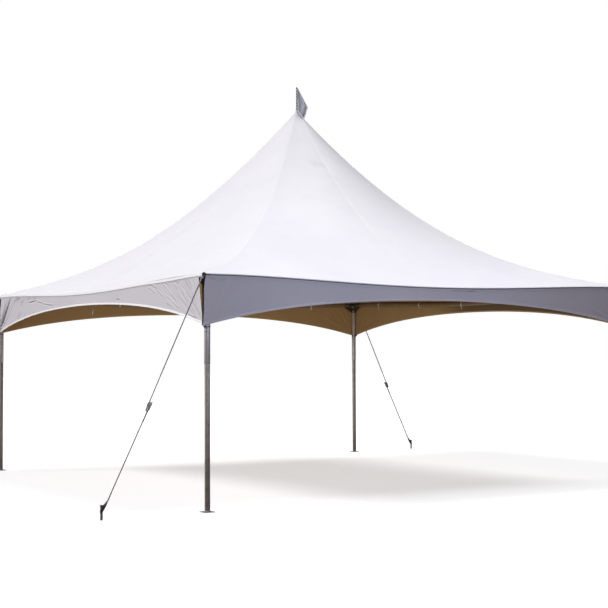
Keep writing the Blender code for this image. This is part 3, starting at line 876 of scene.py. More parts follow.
def buildHem(side, turn):
    # a folded tape: outside, white with painted glow (the front's greyer, painted shade); behind, the
    # underside's painted shade
    width, proud = hemSet["width"], hemSet["proud"]
    back = valanceSet["thickness"] + proud
    front = [(width, 0.0002), (width - 0.001, proud), (0.0020, proud), (-0.0010, 0.5 * proud)]
    behind = [(-0.0010, -0.5 * back), (0.0020, -back), (width - 0.001, -back),
              (width, -valanceSet["thickness"] - 0.0002)]
    around = front + behind
    limit = tent["half"] - valanceInset(side, 1.0)
    bottom = []
    for step in range(hemSet["columns"] + 1):
        s = alongShare(side, 2.0 * step / hemSet["columns"] - 1.0) * limit
        bottom.append([valanceSpot(side, s, hemHeight(s) + up, out) for up, out in around])
    bands = [sweepBand("hem", bottom, turn)]
    for end in (-1, 1) if side in ("left", "right") else ():  # the guyed sides have bound slits
        upright = []
        for step in range(hemSet["endRows"] + 1):
            v = step / hemSet["endRows"]
            edge = tent["half"] - valanceInset(side, v)
            top, low = valanceTop(edge) - valanceSet["topHidden"] - 0.0015, hemHeight(edge) + 0.0005
            upright.append([valanceSpot(side, end * (edge - up), top + (low - top) * v, 1.2 * out)
                            for up, out in around])
        bands.append(sweepBand("hem", upright, turn))
    hem = joinPieces(bands) if len(bands) > 1 else bands[0]
    # the front's hem in the valance's greyer vinyl as painted shade, the others glowing white as painted
    # light
    hem.data.materials.append(valanceVinyl if side == "front" else hemWhitePaintedGlow)
    hem.data.materials.append(undersidePaintedShade)
    outward = Matrix.Rotation(math.radians(turn), 3, "Z") @ Vector((0.0, -1.0, 0.0))
    for face in hem.data.polygons:
        face.material_index = 1 if face.normal.dot(outward) < -0.3 else 0
    return keep(hem, "hem" + side.capitalize())


for side, turn in sides.items():
    valance, area = buildValance(side, turn)
    hem = buildHem(side, turn)
print("valances and hems made")

# welded seams of the top, one along each hip and each valley

seamSet = {
    "halfWidth": 0.019,
    "proud": 0.0010,
    "start": 0.070,          # from the peak
    "rows": 110,
    "columns": 4,
}


def valleySeamPlace(u, v):
    radius = roofSet["foldRadius"]
    flatEnd = tent["half"] - radius
    x = u * seamSet["halfWidth"]
    bendRows = roofSet["foldRows"]
    row = round(v * (seamSet["rows"] + bendRows))
    if row <= seamSet["rows"]:
        outward = seamSet["start"] + (flatEnd - seamSet["start"]) * row / seamSet["rows"]
        return Vector((x, -outward, roofHeight(x, outward) + seamSet["proud"]))
    angle = (row - seamSet["rows"]) / bendRows * math.pi / 2 * (1.0 - roofSet["roll"])
    outward = flatEnd + radius * math.sin(angle)
    z = roofHeight(x, outward) - radius * (1.0 - math.cos(angle))
    return Vector((x, -outward - seamSet["proud"] * math.sin(angle), z + seamSet["proud"] * math.cos(angle)))


def hipSeamPlace(u, v):
    reach = seamSet["start"] / math.sqrt(2)
    along = reach + (tent["half"] - 0.022 - reach) * v
    off = u * seamSet["halfWidth"] / math.sqrt(2)
    x, y = along + off, along - off
    return Vector((x, -y, roofHeight(x, y) + seamSet["proud"]))


def buildSeams():
    strips = []
    for turn in sides.values():
        rows = seamSet["rows"] + roofSet["foldRows"]
        strips.append(gridSheet("seam", seamSet["columns"], rows, valleySeamPlace, turn))
        strips.append(gridSheet("seam", seamSet["columns"], seamSet["rows"], hipSeamPlace, turn))
    seams = joinPieces(strips)
    slacken(seams)
    thicken(seams, 1.6 * seamSet["proud"], seamVinyl)
    return keep(seams, "roofSeams")


roofSeams = buildSeams()
print("seams made")


# shared ways of making hard pieces


def selectFaces(obj, wanted):  # in edit mode, by each face's place and normal
    bpy.ops.mesh.select_mode(type="FACE")
    bpy.ops.mesh.select_all(action="DESELECT")
    bpy.ops.object.mode_set(mode="OBJECT")
    for face in obj.data.polygons:
        face.select = wanted(face)
    bpy.ops.object.mode_set(mode="EDIT")


def settle(obj):  # its place goes into its mesh
    pick(obj)
    bpy.ops.object.transform_apply(location=True, rotation=True, scale=True)
    return obj


def bevelled(obj, width, segments=2, angle=35):
    edge = obj.modifiers.new("edge", "BEVEL")
    edge.width = width
    edge.segments = segments
    edge.limit_method = "ANGLE"
    edge.angle_limit = math.radians(angle)
    applyModifiers(obj)
    return obj


def rod(start, end, radius, sides=40, wall=0.0, bevel=0.0):
    # a bar from one point to another; with a wall its ends are open like a pipe's
    start, end = Vector(start), Vector(end)
    along = end - start
    deselectAll()
    bpy.ops.mesh.primitive_cylinder_add(vertices=sides, radius=radius, depth=along.length,
                                        location=(start + end) / 2,
                                        rotation=along.to_track_quat("Z", "Y").to_euler())
    bar = bpy.context.object
    if wall:
        bpy.ops.object.mode_set(mode="EDIT")
        selectFaces(bar, lambda face: len(face.vertices) > 4)
        bpy.ops.mesh.inset(thickness=wall)
        bpy.ops.mesh.extrude_region_shrink_fatten(
            TRANSFORM_OT_shrink_fatten={"value": -min(0.45 * along.length, 3.0 * radius)})
        bpy.ops.object.mode_set(mode="OBJECT")
    settle(bar)
    return bevelled(bar, bevel) if bevel else bar


def block(size, centre, turn=None, bevel=0.0, segments=2):
    deselectAll()
    bpy.ops.mesh.primitive_cube_add(size=1.0, scale=size)
    box = settle(bpy.context.object)
    if bevel:
        bevelled(box, bevel, segments)
    box.data.transform(Matrix.Translation(centre) @ (turn or Matrix.Identity(4)))
    return box


def plate(outline, thickness, place, bevel=0.0):
    # a flat outline in the local XY plane, thickened about it
    mesh = bpy.data.meshes.new("plate")
    mesh.from_pydata([(x, y, 0.0) for x, y in outline], [], [range(len(outline))])
    flat = linked("plate", mesh)
    wall = flat.modifiers.new("wall", "SOLIDIFY")
    wall.thickness = thickness
    wall.offset = 0.0
    applyModifiers(flat)
    if bevel:
        bevelled(flat, bevel)
    flat.data.transform(place)
    facesOut(flat)
    return flat


def facesOut(obj):
    pick(obj)
    bpy.ops.object.mode_set(mode="EDIT")
    bpy.ops.mesh.select_all(action="SELECT")
    bpy.ops.mesh.remove_doubles(threshold=0.00002)
    bpy.ops.mesh.normals_make_consistent(inside=False)
    bpy.ops.object.mode_set(mode="OBJECT")
    return obj


def turned(profile, steps=48, place=None):
    # (radius, height) pairs spun about Z, then moved by place
    mesh = bpy.data.meshes.new("turned")
    mesh.from_pydata([(radius, 0.0, height) for radius, height in profile],
                     [(i, i + 1) for i in range(len(profile) - 1)], [])
    shape = linked("turned", mesh)
    pick(shape)
    bpy.ops.object.mode_set(mode="EDIT")
    bpy.ops.mesh.select_all(action="SELECT")
    bpy.ops.mesh.spin(steps=steps, angle=2.0 * math.pi, center=(0.0, 0.0, 0.0), axis=(0.0, 0.0, 1.0))
    bpy.ops.object.mode_set(mode="OBJECT")
    facesOut(shape)
    if place:
        shape.data.transform(place)
    return shape


def finished(pieces, finish):
    whole = joinPieces(pieces) if len(pieces) > 1 else pieces[0]
    whole.data.materials.clear()
    whole.data.materials.append(finish)
    return whole


def copyMoved(obj, move):  # a copy with its own mesh, turned right side out where it is mirrored
    twin = linked(obj.name, obj.data.copy())
    twin.data.transform(move)
    if move.determinant() < 0:
        twin.data.flip_normals()
    return twin


def atCorners(obj, name, node=None, smoothAngle=40):
    # made at the front left corner, mirrored to the other three
    made = []
    for corner, (signX, signY) in corners.items():
        twin = copyMoved(obj, Matrix.Diagonal((-signX, -signY, 1.0, 1.0)))
        replaced = [f"{node}_{corner}"] if node else []
        made.append(keep(twin, f"{name}_{corner}", replaced, smoothAngle))
    bpy.data.objects.remove(obj)
    return made


def atSides(obj, name, node=None):  # made at the front, turned to each side
    made = []
    for side, turn in sides.items():
        twin = copyMoved(obj, Matrix.Rotation(math.radians(turn), 4, "Z"))
        replaced = [f"{node}_{side}"] if node else []
        made.append(keep(twin, name + side.capitalize(), replaced))
    bpy.data.objects.remove(obj)
    return made


def sweptTube(points, radius, sides=10, taper=None):
    # a round section carried along a line of points, its UVs in metres
    rings = []
    points = [Vector(point) for point in points]
    reference = Vector((0.0, 0.0, 1.0))
    for index, point in enumerate(points):
        along = (points[min(index + 1, len(points) - 1)] - points[max(index - 1, 0)]).normalized()
        if abs(along.dot(reference)) > 0.95:
            reference = Vector((1.0, 0.0, 0.0))
        sideways = along.cross(reference).normalized()
        upward = sideways.cross(along).normalized()
        reference = upward
        size = radius * (taper(index / (len(points) - 1)) if taper else 1.0)
        rings.append([point + size * (math.cos(a) * sideways + math.sin(a) * upward)
                      for a in (2.0 * math.pi * k / sides for k in range(sides))])
    return sweepBand("tube", rings)


# out and across, as shares of half the thickness and half the width
tapeSection = ((1, -0.9), (1, 0), (1, 0.9), (0.3, 1), (-0.3, 1),
               (-1, 0.9), (-1, 0), (-1, -0.9), (-0.3, -1), (0.3, -1))


def tape(points, outs, width, thickness):
    # a flat woven tape along a line of points, outs giving where its outer face looks at each
    points = [Vector(point) for point in points]
    last = len(points) - 1
    rings = []
    for index, point in enumerate(points):
        along = (points[min(index + 1, last)] - points[max(index - 1, 0)]).normalized()
        wide = along.cross(Vector(outs[index])).normalized()
        out = wide.cross(along)
        rings.append([point + out * (thickness / 2 * a) + wide * (width / 2 * b) for a, b in tapeSection])
    return sweepBand("tape", rings)


def wireRing(centre, axis, radius, wire):
    # a welded ring about an axis
    turn = Vector(axis).normalized().to_track_quat("Z", "Y")
    angles = [2.0 * math.pi * k / 40 for k in range(41)]
    points = [centre + turn @ Vector((radius * math.cos(a), radius * math.sin(a), 0.0)) for a in angles]
    return sweptTube(points, wire)


def arc(start, middle, end, steps):  # a smooth bend from start to end, drawn towards the middle
    shares = [k / steps for k in range(steps + 1)]
    return [start.lerp(middle, share).lerp(middle.lerp(end, share), share) for share in shares]


# legs

legSet = {
    "upperRadius": 0.03175,
    "lowerRadius": 0.0285,
    "wall": 0.0028,
    "joinZ": 1.51,
    "lap": 0.25,
    "topZ": 2.3634,
    "sides": 56,
    # degrees about the axis, height, radius and rim of the snap button and of the locking pin
    "button": (206, 1.850, 0.0098, 0.0158),
    "pin": (196, 1.535, 0.0045, 0.0080),
    "plate": 0.12,
    "plateThickness": 0.006,
    "nailAt": 0.043,
    "nailRadius": 0.0075,
}


def buttonOn(leg, angle, z, radius, rim):
    # a domed button in a pressed ring, angle in degrees about the leg's axis
    aim = Vector((math.cos(math.radians(angle)), math.sin(math.radians(angle)), 0.0))
    face = Vector((-tent["legHalf"], -tent["legHalf"], z)) + aim * (leg - 0.0010)
    turn = Matrix.Translation(face) @ aim.to_track_quat("Z", "Y").to_matrix().to_4x4()
    dome = turned([(0.0, 0.0062), (0.4 * radius, 0.0058), (0.8 * radius, 0.0042), (radius, 0.0020),
                   (radius, -0.002), (0.0, -0.002)], 24, turn)
    lip = turned([(1.05 * radius, 0.0008), (1.25 * radius, 0.0026), (rim, 0.0018), (rim, -0.0012),
                  (1.05 * radius, -0.0012), (1.05 * radius, 0.0008)], 28, turn)
    return dome, lip


def buildLegs():
    x = y = -tent["legHalf"]
    join, upper, lower = legSet["joinZ"], legSet["upperRadius"], legSet["lowerRadius"]
    tube = rod((x, y, join), (x, y, legSet["topZ"]), upper, legSet["sides"], legSet["wall"], 0.0007)
    atCorners(finished([tube], legAluminium), "legUpper", "leg_upper")
    foot = legSet["plateThickness"] + 0.0003
    tube = rod((x, y, foot), (x, y, join + legSet["lap"]), lower, legSet["sides"], legSet["wall"], 0.0006)
    atCorners(finished([tube], legLowerAluminium), "legLower", "leg_lower")
    dome, lip = buttonOn(upper, *legSet["button"])
    pin, pinLip = buttonOn(upper, *legSet["pin"])
    atCorners(finished([dome, pin], buttonPaintedGlint), "legButtons")
    atCorners(finished([lip, pinLip], buttonRingPaintedShade), "buttonRings")
    half = legSet["plate"] / 2
    outline = [(half, half), (-half, half), (-half, -half), (half, -half)]
    place = Matrix.Translation((x, y, legSet["plateThickness"] / 2))
    base = plate(outline, legSet["plateThickness"], place)
    for way in (-1, 1):  # nail holes at two opposite corners
        off = way * legSet["nailAt"]
        cutter = rod((x + off, y + off, -0.02), (x + off, y + off, 0.02), legSet["nailRadius"], 24)
        hole = base.modifiers.new("hole", "BOOLEAN")
        hole.operation = "DIFFERENCE"
        hole.object = cutter
        applyModifiers(base)
        bpy.data.objects.remove(cutter)
    bevelled(base, 0.0010, 2, 50)
    weld = weldRing(Matrix.Translation((x, y, legSet["plateThickness"])), lower + 0.0008, 0.0026)
    atCorners(finished([base, weld], plateSteel), "footPlate", "foot_plate")


def weldRing(place, radius, size, beads=46):
    # a fillet of overlapping beads round a tube's foot, at its local origin
    points = []
    for step in range(beads * 4 + 1):
        angle = 2.0 * math.pi * step / (beads * 4)
        points.append(place @ Vector((radius * math.cos(angle), radius * math.sin(angle), 0.0008)))
    return sweptTube(points, size, 8, lambda share: 1.0 + 0.16 * math.sin(2.0 * math.pi * beads * share))


buildLegs()
print("legs made")

# eave tubes, bowed down a little between the corners

eaveSet = {
    "sides": 48,
    "stations": 44,
    "reach": 2.96,           # half its length, its ends inside the corner sleeves
}


def buildEaves():
    half, radius = tent["legHalf"], tent["tubeRadius"]
    points = []
    for step in range(eaveSet["stations"] + 1):
        along = eaveSet["reach"] * (2.0 * step / eaveSet["stations"] - 1.0)
        points.append((along, -half, tent["tubeZ"] - eaveDrop(along)))
    tube = sweptTube(points, radius, eaveSet["sides"])
    atSides(finished([tube], eavePaintedShade), "eaveTube", "eave_tube")


buildEaves()
print("eave tubes made")


# corner fittings: two sleeves and a leg socket welded together, dark steel

fittingSet = {
    "postRadius": 0.0365,
    "postBottomZ": 2.285,
    "postTopZ": 2.4334,
    "sleeveRadius": 0.036,
    "sleeveStart": 0.024,
    "sleeveReach": 0.19,
    "wall": 0.0036,
    "gussetReach": 0.165,
    "gussetThickness": 0.006,
    "bossReach": 0.11,
    "bossDrop": 0.018,
    "eyeOut": 0.060,         # the guy's pin, out from the leg's axis
    "eyeDrop": 0.012,
    "beadSize": 0.0022,
    "postWall": 0.0045,
    "cap": [(0.0, 0.0042), (0.020, 0.0036), (0.032, 0.0014), (0.0335, -0.004), (0.0, -0.004)],
    "boltsAt": (0.135, 0.165),      # along each sleeve
    "diagonalBoltZ": 2.305,
    "bossRadius": 0.010,
    "saddle": (128.0, 284.0),       # the weld's first angle, and how far it goes round
    "earRadius": 0.011,
    "earThickness": 0.004,
    "earsAt": (0.025, 0.0155),      # out from the leg's axis, and to each side
    "pinRadius": 0.005,
}
hubSet = {
    "side": 0.11,
    "z": 2.265,
    "height": 0.050,
    "cupRadius": 0.040,
    "cupHeight": 0.060,
}


def hexBolt(place, aim, radius=0.0085, height=0.0055, washer=0.012):
    # a hexagon head on a round washer, looking along aim
    place, aim = Vector(place), Vector(aim).normalized()
    under = rod(place - aim * 0.0015, place + aim * 0.0015, washer, 24, bevel=0.0003)
    head = rod(place + aim * 0.0012, place + aim * (0.0012 + height), radius, 6, bevel=0.0008)
    return [under, head]


def beadLine(start, end, size, beads):
    start, end = Vector(start), Vector(end)
    points = [start.lerp(end, step / (beads * 3)) for step in range(beads * 3 + 1)]
    return sweptTube(points, size, 6, lambda share: 1.0 + 0.18 * math.sin(2.0 * math.pi * beads * share))


def buildFittings():
    x = y = -tent["legHalf"]
    level = Vector((x, y, tent["tubeZ"]))
    radius, reach = fittingSet["postRadius"], fittingSet["sleeveReach"]
    bottom, top = fittingSet["postBottomZ"], fittingSet["postTopZ"]
    steel = [rod((x, y, bottom), (x, y, top), radius, 56, fittingSet["postWall"], 0.0010),
             turned(fittingSet["cap"], 48, Matrix.Translation((x, y, top)))]
    zinc = []
    webTop = tent["tubeZ"] - fittingSet["sleeveRadius"] + 0.005
    web = fittingSet["gussetReach"]
    gusset = [(0.033, webTop), (web, webTop), (web, webTop - 0.008), (0.046, bottom + 0.004),
              (0.033, bottom + 0.004)]
    for along in (Vector((1, 0, 0)), Vector((0, 1, 0))):
        mouth = level + along * reach
        sleeve = fittingSet["sleeveRadius"]
        root = level + along * fittingSet["sleeveStart"]
        steel.append(rod(root, mouth, sleeve, 56, fittingSet["wall"], 0.0008))
        steel.append(rod(mouth - along * 0.009, mouth - along * 0.0004, sleeve + 0.0006, 56, 0.0040, 0.0010))
        up = Vector((0, 0, 1))
        axes = Matrix((along, up, along.cross(up))).transposed().to_4x4()
        stand = Matrix.Translation((x, y, 0)) @ axes
        steel.append(plate(gusset, fittingSet["gussetThickness"], stand, 0.0010))
        across = Vector((along.y, along.x, 0))  # towards the inside of the tent
        for way in (-1, 1):
            edge = across * way * fittingSet["gussetThickness"] / 2
            foot = Vector((x, y, 0)) + along * (radius + 0.0006) + edge
            steel.append(beadLine(foot + up * (bottom + 0.006), foot + up * (webTop - 0.004),
                                  fittingSet["beadSize"], 16))
            under = level - up * (sleeve - 0.0004) + edge
            steel.append(beadLine(under + along * 0.042, under + along * (web - 0.002),
                                  fittingSet["beadSize"], 16))
        saddle = []
        weldFrom, weldTurn = fittingSet["saddle"]
        for step in range(61):
            angle = math.radians(weldFrom + weldTurn * step / 60)
            off, rise = sleeve * math.cos(angle), sleeve * math.sin(angle)
            saddle.append(level + along * math.sqrt(radius ** 2 - off ** 2) + across * off + up * rise)
        steel.append(sweptTube(saddle, 0.0028, 6, lambda share: 1.0 + 0.18 * math.sin(150.0 * share)))
        large, small = fittingSet["boltsAt"]
        zinc += hexBolt(level + along * large + across * sleeve, across)
        zinc += hexBolt(level + along * small + across * sleeve, across, 0.0060, 0.0045, 0.0085)
    diagonal = Vector((1, 1, 0)).normalized()
    zinc += hexBolt(Vector((x, y, fittingSet["diagonalBoltZ"])) + diagonal * radius, diagonal)
    # the boss that the crossing cable leaves from
    start, _, along = cableLine()
    boss = start + along * fittingSet["bossReach"]
    steel.append(rod(start + along * 0.030, boss, fittingSet["bossRadius"], 32, bevel=0.0012))
    zinc.append(rod(boss - along * 0.046, boss - along * 0.032, 0.0150, 6, bevel=0.0010))
    # two rounded ears and the pin that the guy's loop goes round
    eye = eyePoint()
    earOut, earSide = fittingSet["earsAt"]
    reach, tip = fittingSet["eyeOut"] - earOut, fittingSet["earRadius"]
    ear = [(0.0, -0.015), (0.0, 0.015), (-reach, tip)]
    for k in range(1, 14):
        angle = math.pi * k / 14
        ear.append((-reach - tip * math.sin(angle), tip * math.cos(angle)))
    ear.append((-reach, -tip))
    upright = Matrix.Rotation(math.radians(90.0), 4, "X")
    for way in (-1, 1):
        spot = Matrix.Translation((x - earOut, y + way * earSide, eye.z))
        steel.append(plate(ear, fittingSet["earThickness"], spot @ upright, 0.0006))
    pinHalf, boltFoot = Vector((0, 0.0185, 0)), Vector((0, 0.0182, 0))
    steel.append(rod(eye - pinHalf, eye + pinHalf, fittingSet["pinRadius"], 28, bevel=0.0005))
    zinc += hexBolt(eye + boltFoot, (0, 1, 0), 0.0075, 0.0045, 0.0095)
    zinc += hexBolt(eye - boltFoot, (0, -1, 0), 0.0075, 0.0040, 0.0095)
    atCorners(finished(steel, fittingSteel), "cornerFitting", "corner_fitting")
    atCorners(finished(zinc, boltZinc), "fittingBolts")


def eyePoint():
    half = tent["legHalf"]
    return Vector((-half - fittingSet["eyeOut"], -half, tent["tubeZ"] - fittingSet["eyeDrop"]))


def cableLine():  # from the front left corner's axis to its face of the hub
    inward = Vector((1, 1, 0)).normalized()
    start = Vector((-tent["legHalf"], -tent["legHalf"], tent["tubeZ"] - fittingSet["bossDrop"]))
    end = Vector((0, 0, hubSet["z"])) - inward * (hubSet["side"] / 2 + 0.0003)
    return start, end, (end - start).normalized()


buildFittings()
print("corner fittings made")

# crossing cables: wire rope with a swaged end, and a turnbuckle by the hub

cableSet = {
    "radius": 0.0040,
    "lobes": 6,
    "pitch": 0.075,
    "stations": 560,
    "turnbuckle": 0.17,
    "swage": 0.0062,         # radii
    "screw": 0.0048,
    "nut": 0.0105,
    "rail": 0.0030,
    "jaw": 0.0058,
    "pin": 0.0042,
    "railOff": 0.0088,       # from the cable's axis
    "jawOff": 0.0085,
    "pinHalf": 0.016,
}


def buildCables():
    start, end, along = cableLine()
    first = start + along * (fittingSet["bossReach"] + 0.0003)
    last = end - along * (cableSet["turnbuckle"] + 0.045)
    sideways = along.cross(Vector((0, 0, 1))).normalized()
    upward = sideways.cross(along)
    rings = []
    for step in range(cableSet["stations"] + 1):
        share = step / cableSet["stations"]
        spot = first.lerp(last, share)
        twist = 2.0 * math.pi * share * (last - first).length / (cableSet["pitch"] * cableSet["lobes"])
        section = []
        for corner in range(cableSet["lobes"] * 2):
            angle = math.pi * corner / cableSet["lobes"] + twist
            size = cableSet["radius"] * (1.0 if corner % 2 else 0.80)
            section.append(spot + size * (math.cos(angle) * sideways + math.sin(angle) * upward))
        rings.append(section)
    atCorners(finished([sweepBand("rope", rings)], ropeSteel), "crossCable", "cross_cable", 70)
    body = last + along * 0.040
    swage, screw, nut = (cableSet[key] for key in ("swage", "screw", "nut"))
    fittings = [rod(first - along * 0.001, first + along * 0.050, swage, 28, bevel=0.0010),
                rod(last - along * 0.050, last + along * 0.004, swage, 28, bevel=0.0010),
                rod(last - along * 0.002, body + along * 0.012, screw, 20, bevel=0.0004),
                rod(body, body + along * 0.014, nut, 6, bevel=0.0008),
                rod(body + along * 0.098, body + along * 0.112, nut, 6, bevel=0.0008),
                rod(body + along * 0.100, end - along * 0.022, screw, 20, bevel=0.0004)]
    for way in (-1, 1):
        rail = upward * way * cableSet["railOff"]
        fittings.append(rod(body + along * 0.008 + rail, body + along * 0.104 + rail, cableSet["rail"], 16))
    for way in (-1, 1):  # clevis on the hub
        cheek = sideways * way * cableSet["jawOff"]
        jaw, root = end - along * 0.030 + cheek, end - along * 0.0002 + cheek
        fittings.append(rod(jaw, root, cableSet["jaw"], 20, bevel=0.0008))
    pin, pinHalf = end - along * 0.022, sideways * cableSet["pinHalf"]
    fittings.append(rod(pin - pinHalf, pin + pinHalf, cableSet["pin"], 20, bevel=0.0006))
    atCorners(finished(fittings, boltZinc), "cableFittings")


buildCables()
print("cables made")

# mast, its foot that the cables hold, its head, and the pole above

mastSet = {
    "radius": 0.03175,
    "headRadius": 0.090,
    "neckRadius": 0.040,
    "finialRadius": 0.008,
    "finialTopZ": 5.205,
}


def buildMast():
    z, half = hubSet["z"], hubSet["height"] / 2
    topZ = z + half
    quarter = Matrix.Rotation(math.radians(45.0), 4, "Z")
    cup = hubSet["cupRadius"]
    steel = [block((hubSet["side"], hubSet["side"], hubSet["height"]), (0, 0, z), quarter, 0.0040, 3),
             rod((0, 0, topZ - 0.004), (0, 0, topZ + hubSet["cupHeight"]), cup, 56, 0.0070, 0.0010),
             weldRing(Matrix.Translation((0, 0, topZ)), cup + 0.0008, 0.0028)]
    keep(finished(steel, fittingSteel), "mastFoot", ["mast_foot"])
    zinc = []
    for k in range(4):
        aim = Vector((math.cos(math.pi / 2 * k), math.sin(math.pi / 2 * k), 0.0))
        zinc += hexBolt(aim * 0.058 + Vector((0, 0, topZ)), (0, 0, 1), 0.0075, 0.0050, 0.0105)
    zinc += hexBolt((0, -cup, topZ + 0.034), (0, -1, 0), 0.0075, 0.0050, 0.0105)
    keep(finished(zinc, boltZinc), "hubBolts")
    # the head lies a little under the fabric, with ribs below its disc
    clear = 0.0052
    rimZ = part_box("mast_head")[1][2]
    rim = roofRim(mastSet["headRadius"]) - clear
    tip = min(roofRim(mastSet["finialRadius"]) - clear, rimZ)
    neck = mastSet["neckRadius"]
    seat = rim - 0.030
    disc = mastSet["headRadius"]
    profile = [(0.0, tip), (0.012, tip - 0.001), (0.035, tip - (tip - rim) * 0.33),
               (0.062, tip - (tip - rim) * 0.66), (disc - 0.002, rim), (disc, rim - 0.0025),
               (disc - 0.001, rim - 0.006), (neck + 0.004, rim - 0.012), (neck, rim - 0.016),
               (neck, rim - 0.089), (neck - 0.001, rim - 0.090), (0.0330, rim - 0.090),
               (0.0324, seat), (0.0, seat)]
    head = [turned(profile, 64)]
    rib = [(neck - 0.002, -0.085), (neck + 0.003, -0.085), (disc - 0.008, -0.012), (neck - 0.002, -0.012)]
    for k in range(6):
        turn = Matrix.Rotation(math.pi / 3 * k, 4, "Z") @ Matrix.Translation((0, 0, rim))
        head.append(plate(rib, 0.004, turn @ Matrix.Rotation(math.radians(90.0), 4, "X"), 0.0006))
    keep(finished(head, fittingSteel), "mastHead", ["mast_head"])
    pole = [rod((0, 0, topZ + 0.0003), (0, 0, seat - 0.0003), mastSet["radius"], 56, bevel=0.0008)]
    keep(finished(pole, tubeAluminium), "mastTube", ["mast"])
    radius = mastSet["finialRadius"]
    foot, crown = tip + 0.0003, mastSet["finialTopZ"]
    spike = turned([(0.0, crown), (0.4 * radius, crown - 0.0008), (0.8 * radius, crown - 0.0032),
                    (radius, crown - 0.0075), (radius, crown - 0.015), (radius, foot), (0.0, foot)], 32)
    keep(finished([spike], polePaintedShade), "finialPole", ["finial_pole"])


def roofRim(radius):  # lowest fabric height round a circle about the peak
    angles = (0.0, math.pi / 8, math.pi / 4)
    return min(roofHeight(radius * math.cos(angle), radius * math.sin(angle)) for angle in angles)


buildMast()
print("mast made")

# the vinyl boot over the peak, with the clamp band that holds it to the pole

bootSet = {
    "radius": 0.058,
    "collar": 0.0140,
    "topZ": 4.900,
    "thickness": 0.0022,
    "collarHeight": 0.014,
    "collarRows": 0.25,      # share of the rows that make the collar
    "over": 0.0034,          # above the fabric
    "pleat": 0.0006,
    "clampZ": (4.8885, 4.8955),
}


def buildBoot():
    steps, rows = 72, 22
    collar, height, part = (bootSet[key] for key in ("collar", "collarHeight", "collarRows"))
    rings = []
    for row in range(rows + 1):
        share = row / rows
        section = []
        for step in range(steps):
            angle = 2.0 * math.pi * step / steps
            if share < part:  # the collar up the pole
                reach = collar
                z = bootSet["topZ"] - height * share / part
            else:
                down = (share - part) / (1.0 - part)
                reach = collar + (bootSet["radius"] - collar) * down
                fabric = roofHeight(reach * math.cos(angle), reach * math.sin(angle)) + bootSet["over"]
                ease = min(down / 0.35, 1.0) ** 0.8
                z = (1.0 - ease) * (bootSet["topZ"] - height - 0.010 * down) + ease * fabric
                z += bootSet["pleat"] * math.sin(9 * angle) * ease
            section.append(Vector((reach * math.cos(angle), reach * math.sin(angle), z)))
        rings.append(section)
    shape = bmesh.new()
    made = [[shape.verts.new(spot) for spot in section] for section in rings]
    for upper, lower in zip(made, made[1:]):
        for k in range(steps):
            n = (k + 1) % steps
            shape.faces.new((upper[k], lower[k], lower[n], upper[n]))
    mesh = bpy.data.meshes.new("boot")
    shape.to_mesh(mesh)
    shape.free()
    boot = linked("boot", mesh)
    thicken(boot, bootSet["thickness"], capVinyl)
    keep(boot, "peakBoot", ["peak_cap"])
    low, high = bootSet["clampZ"]
    band = rod((0, 0, low), (0, 0, high), collar + 0.0012, 40, 0.0008, 0.0003)
    screw = hexBolt((0.0, -collar - 0.0010, (low + high) / 2), (0, -1, 0), 0.0032, 0.0030, 0.0040)
    keep(finished([band] + screw, boltZinc), "bootClamp")


buildBoot()
print("peak boot made")

# the pennant: white cloth in the shade, hemmed, laced to the pole

pennantSet = {
    "aim": -45.0,
    "topZ": 5.193,
    "footZ": 4.906,
    "corner": (0.154, 4.924),
    "tip": (0.0945, 4.7800),
    "bend": 0.62,            # share of the height at which its corner stands out
    "wave": 0.0045,
    "laces": 7,
    "laceFrom": 0.022,
    "laceStep": 0.0400,
    "laceTape": (0.0150, 0.0012),    # width and thickness
    "hemFaces": (0.0009, -0.0018),   # proud of the cloth's two sides
    "clear": 0.0045,         # its lower edge over the top
    "hoist": 0.0105,
    "hem": 0.011,
    "thickness": 0.0009,
    "columns": 26,
    "rows": 44,
}


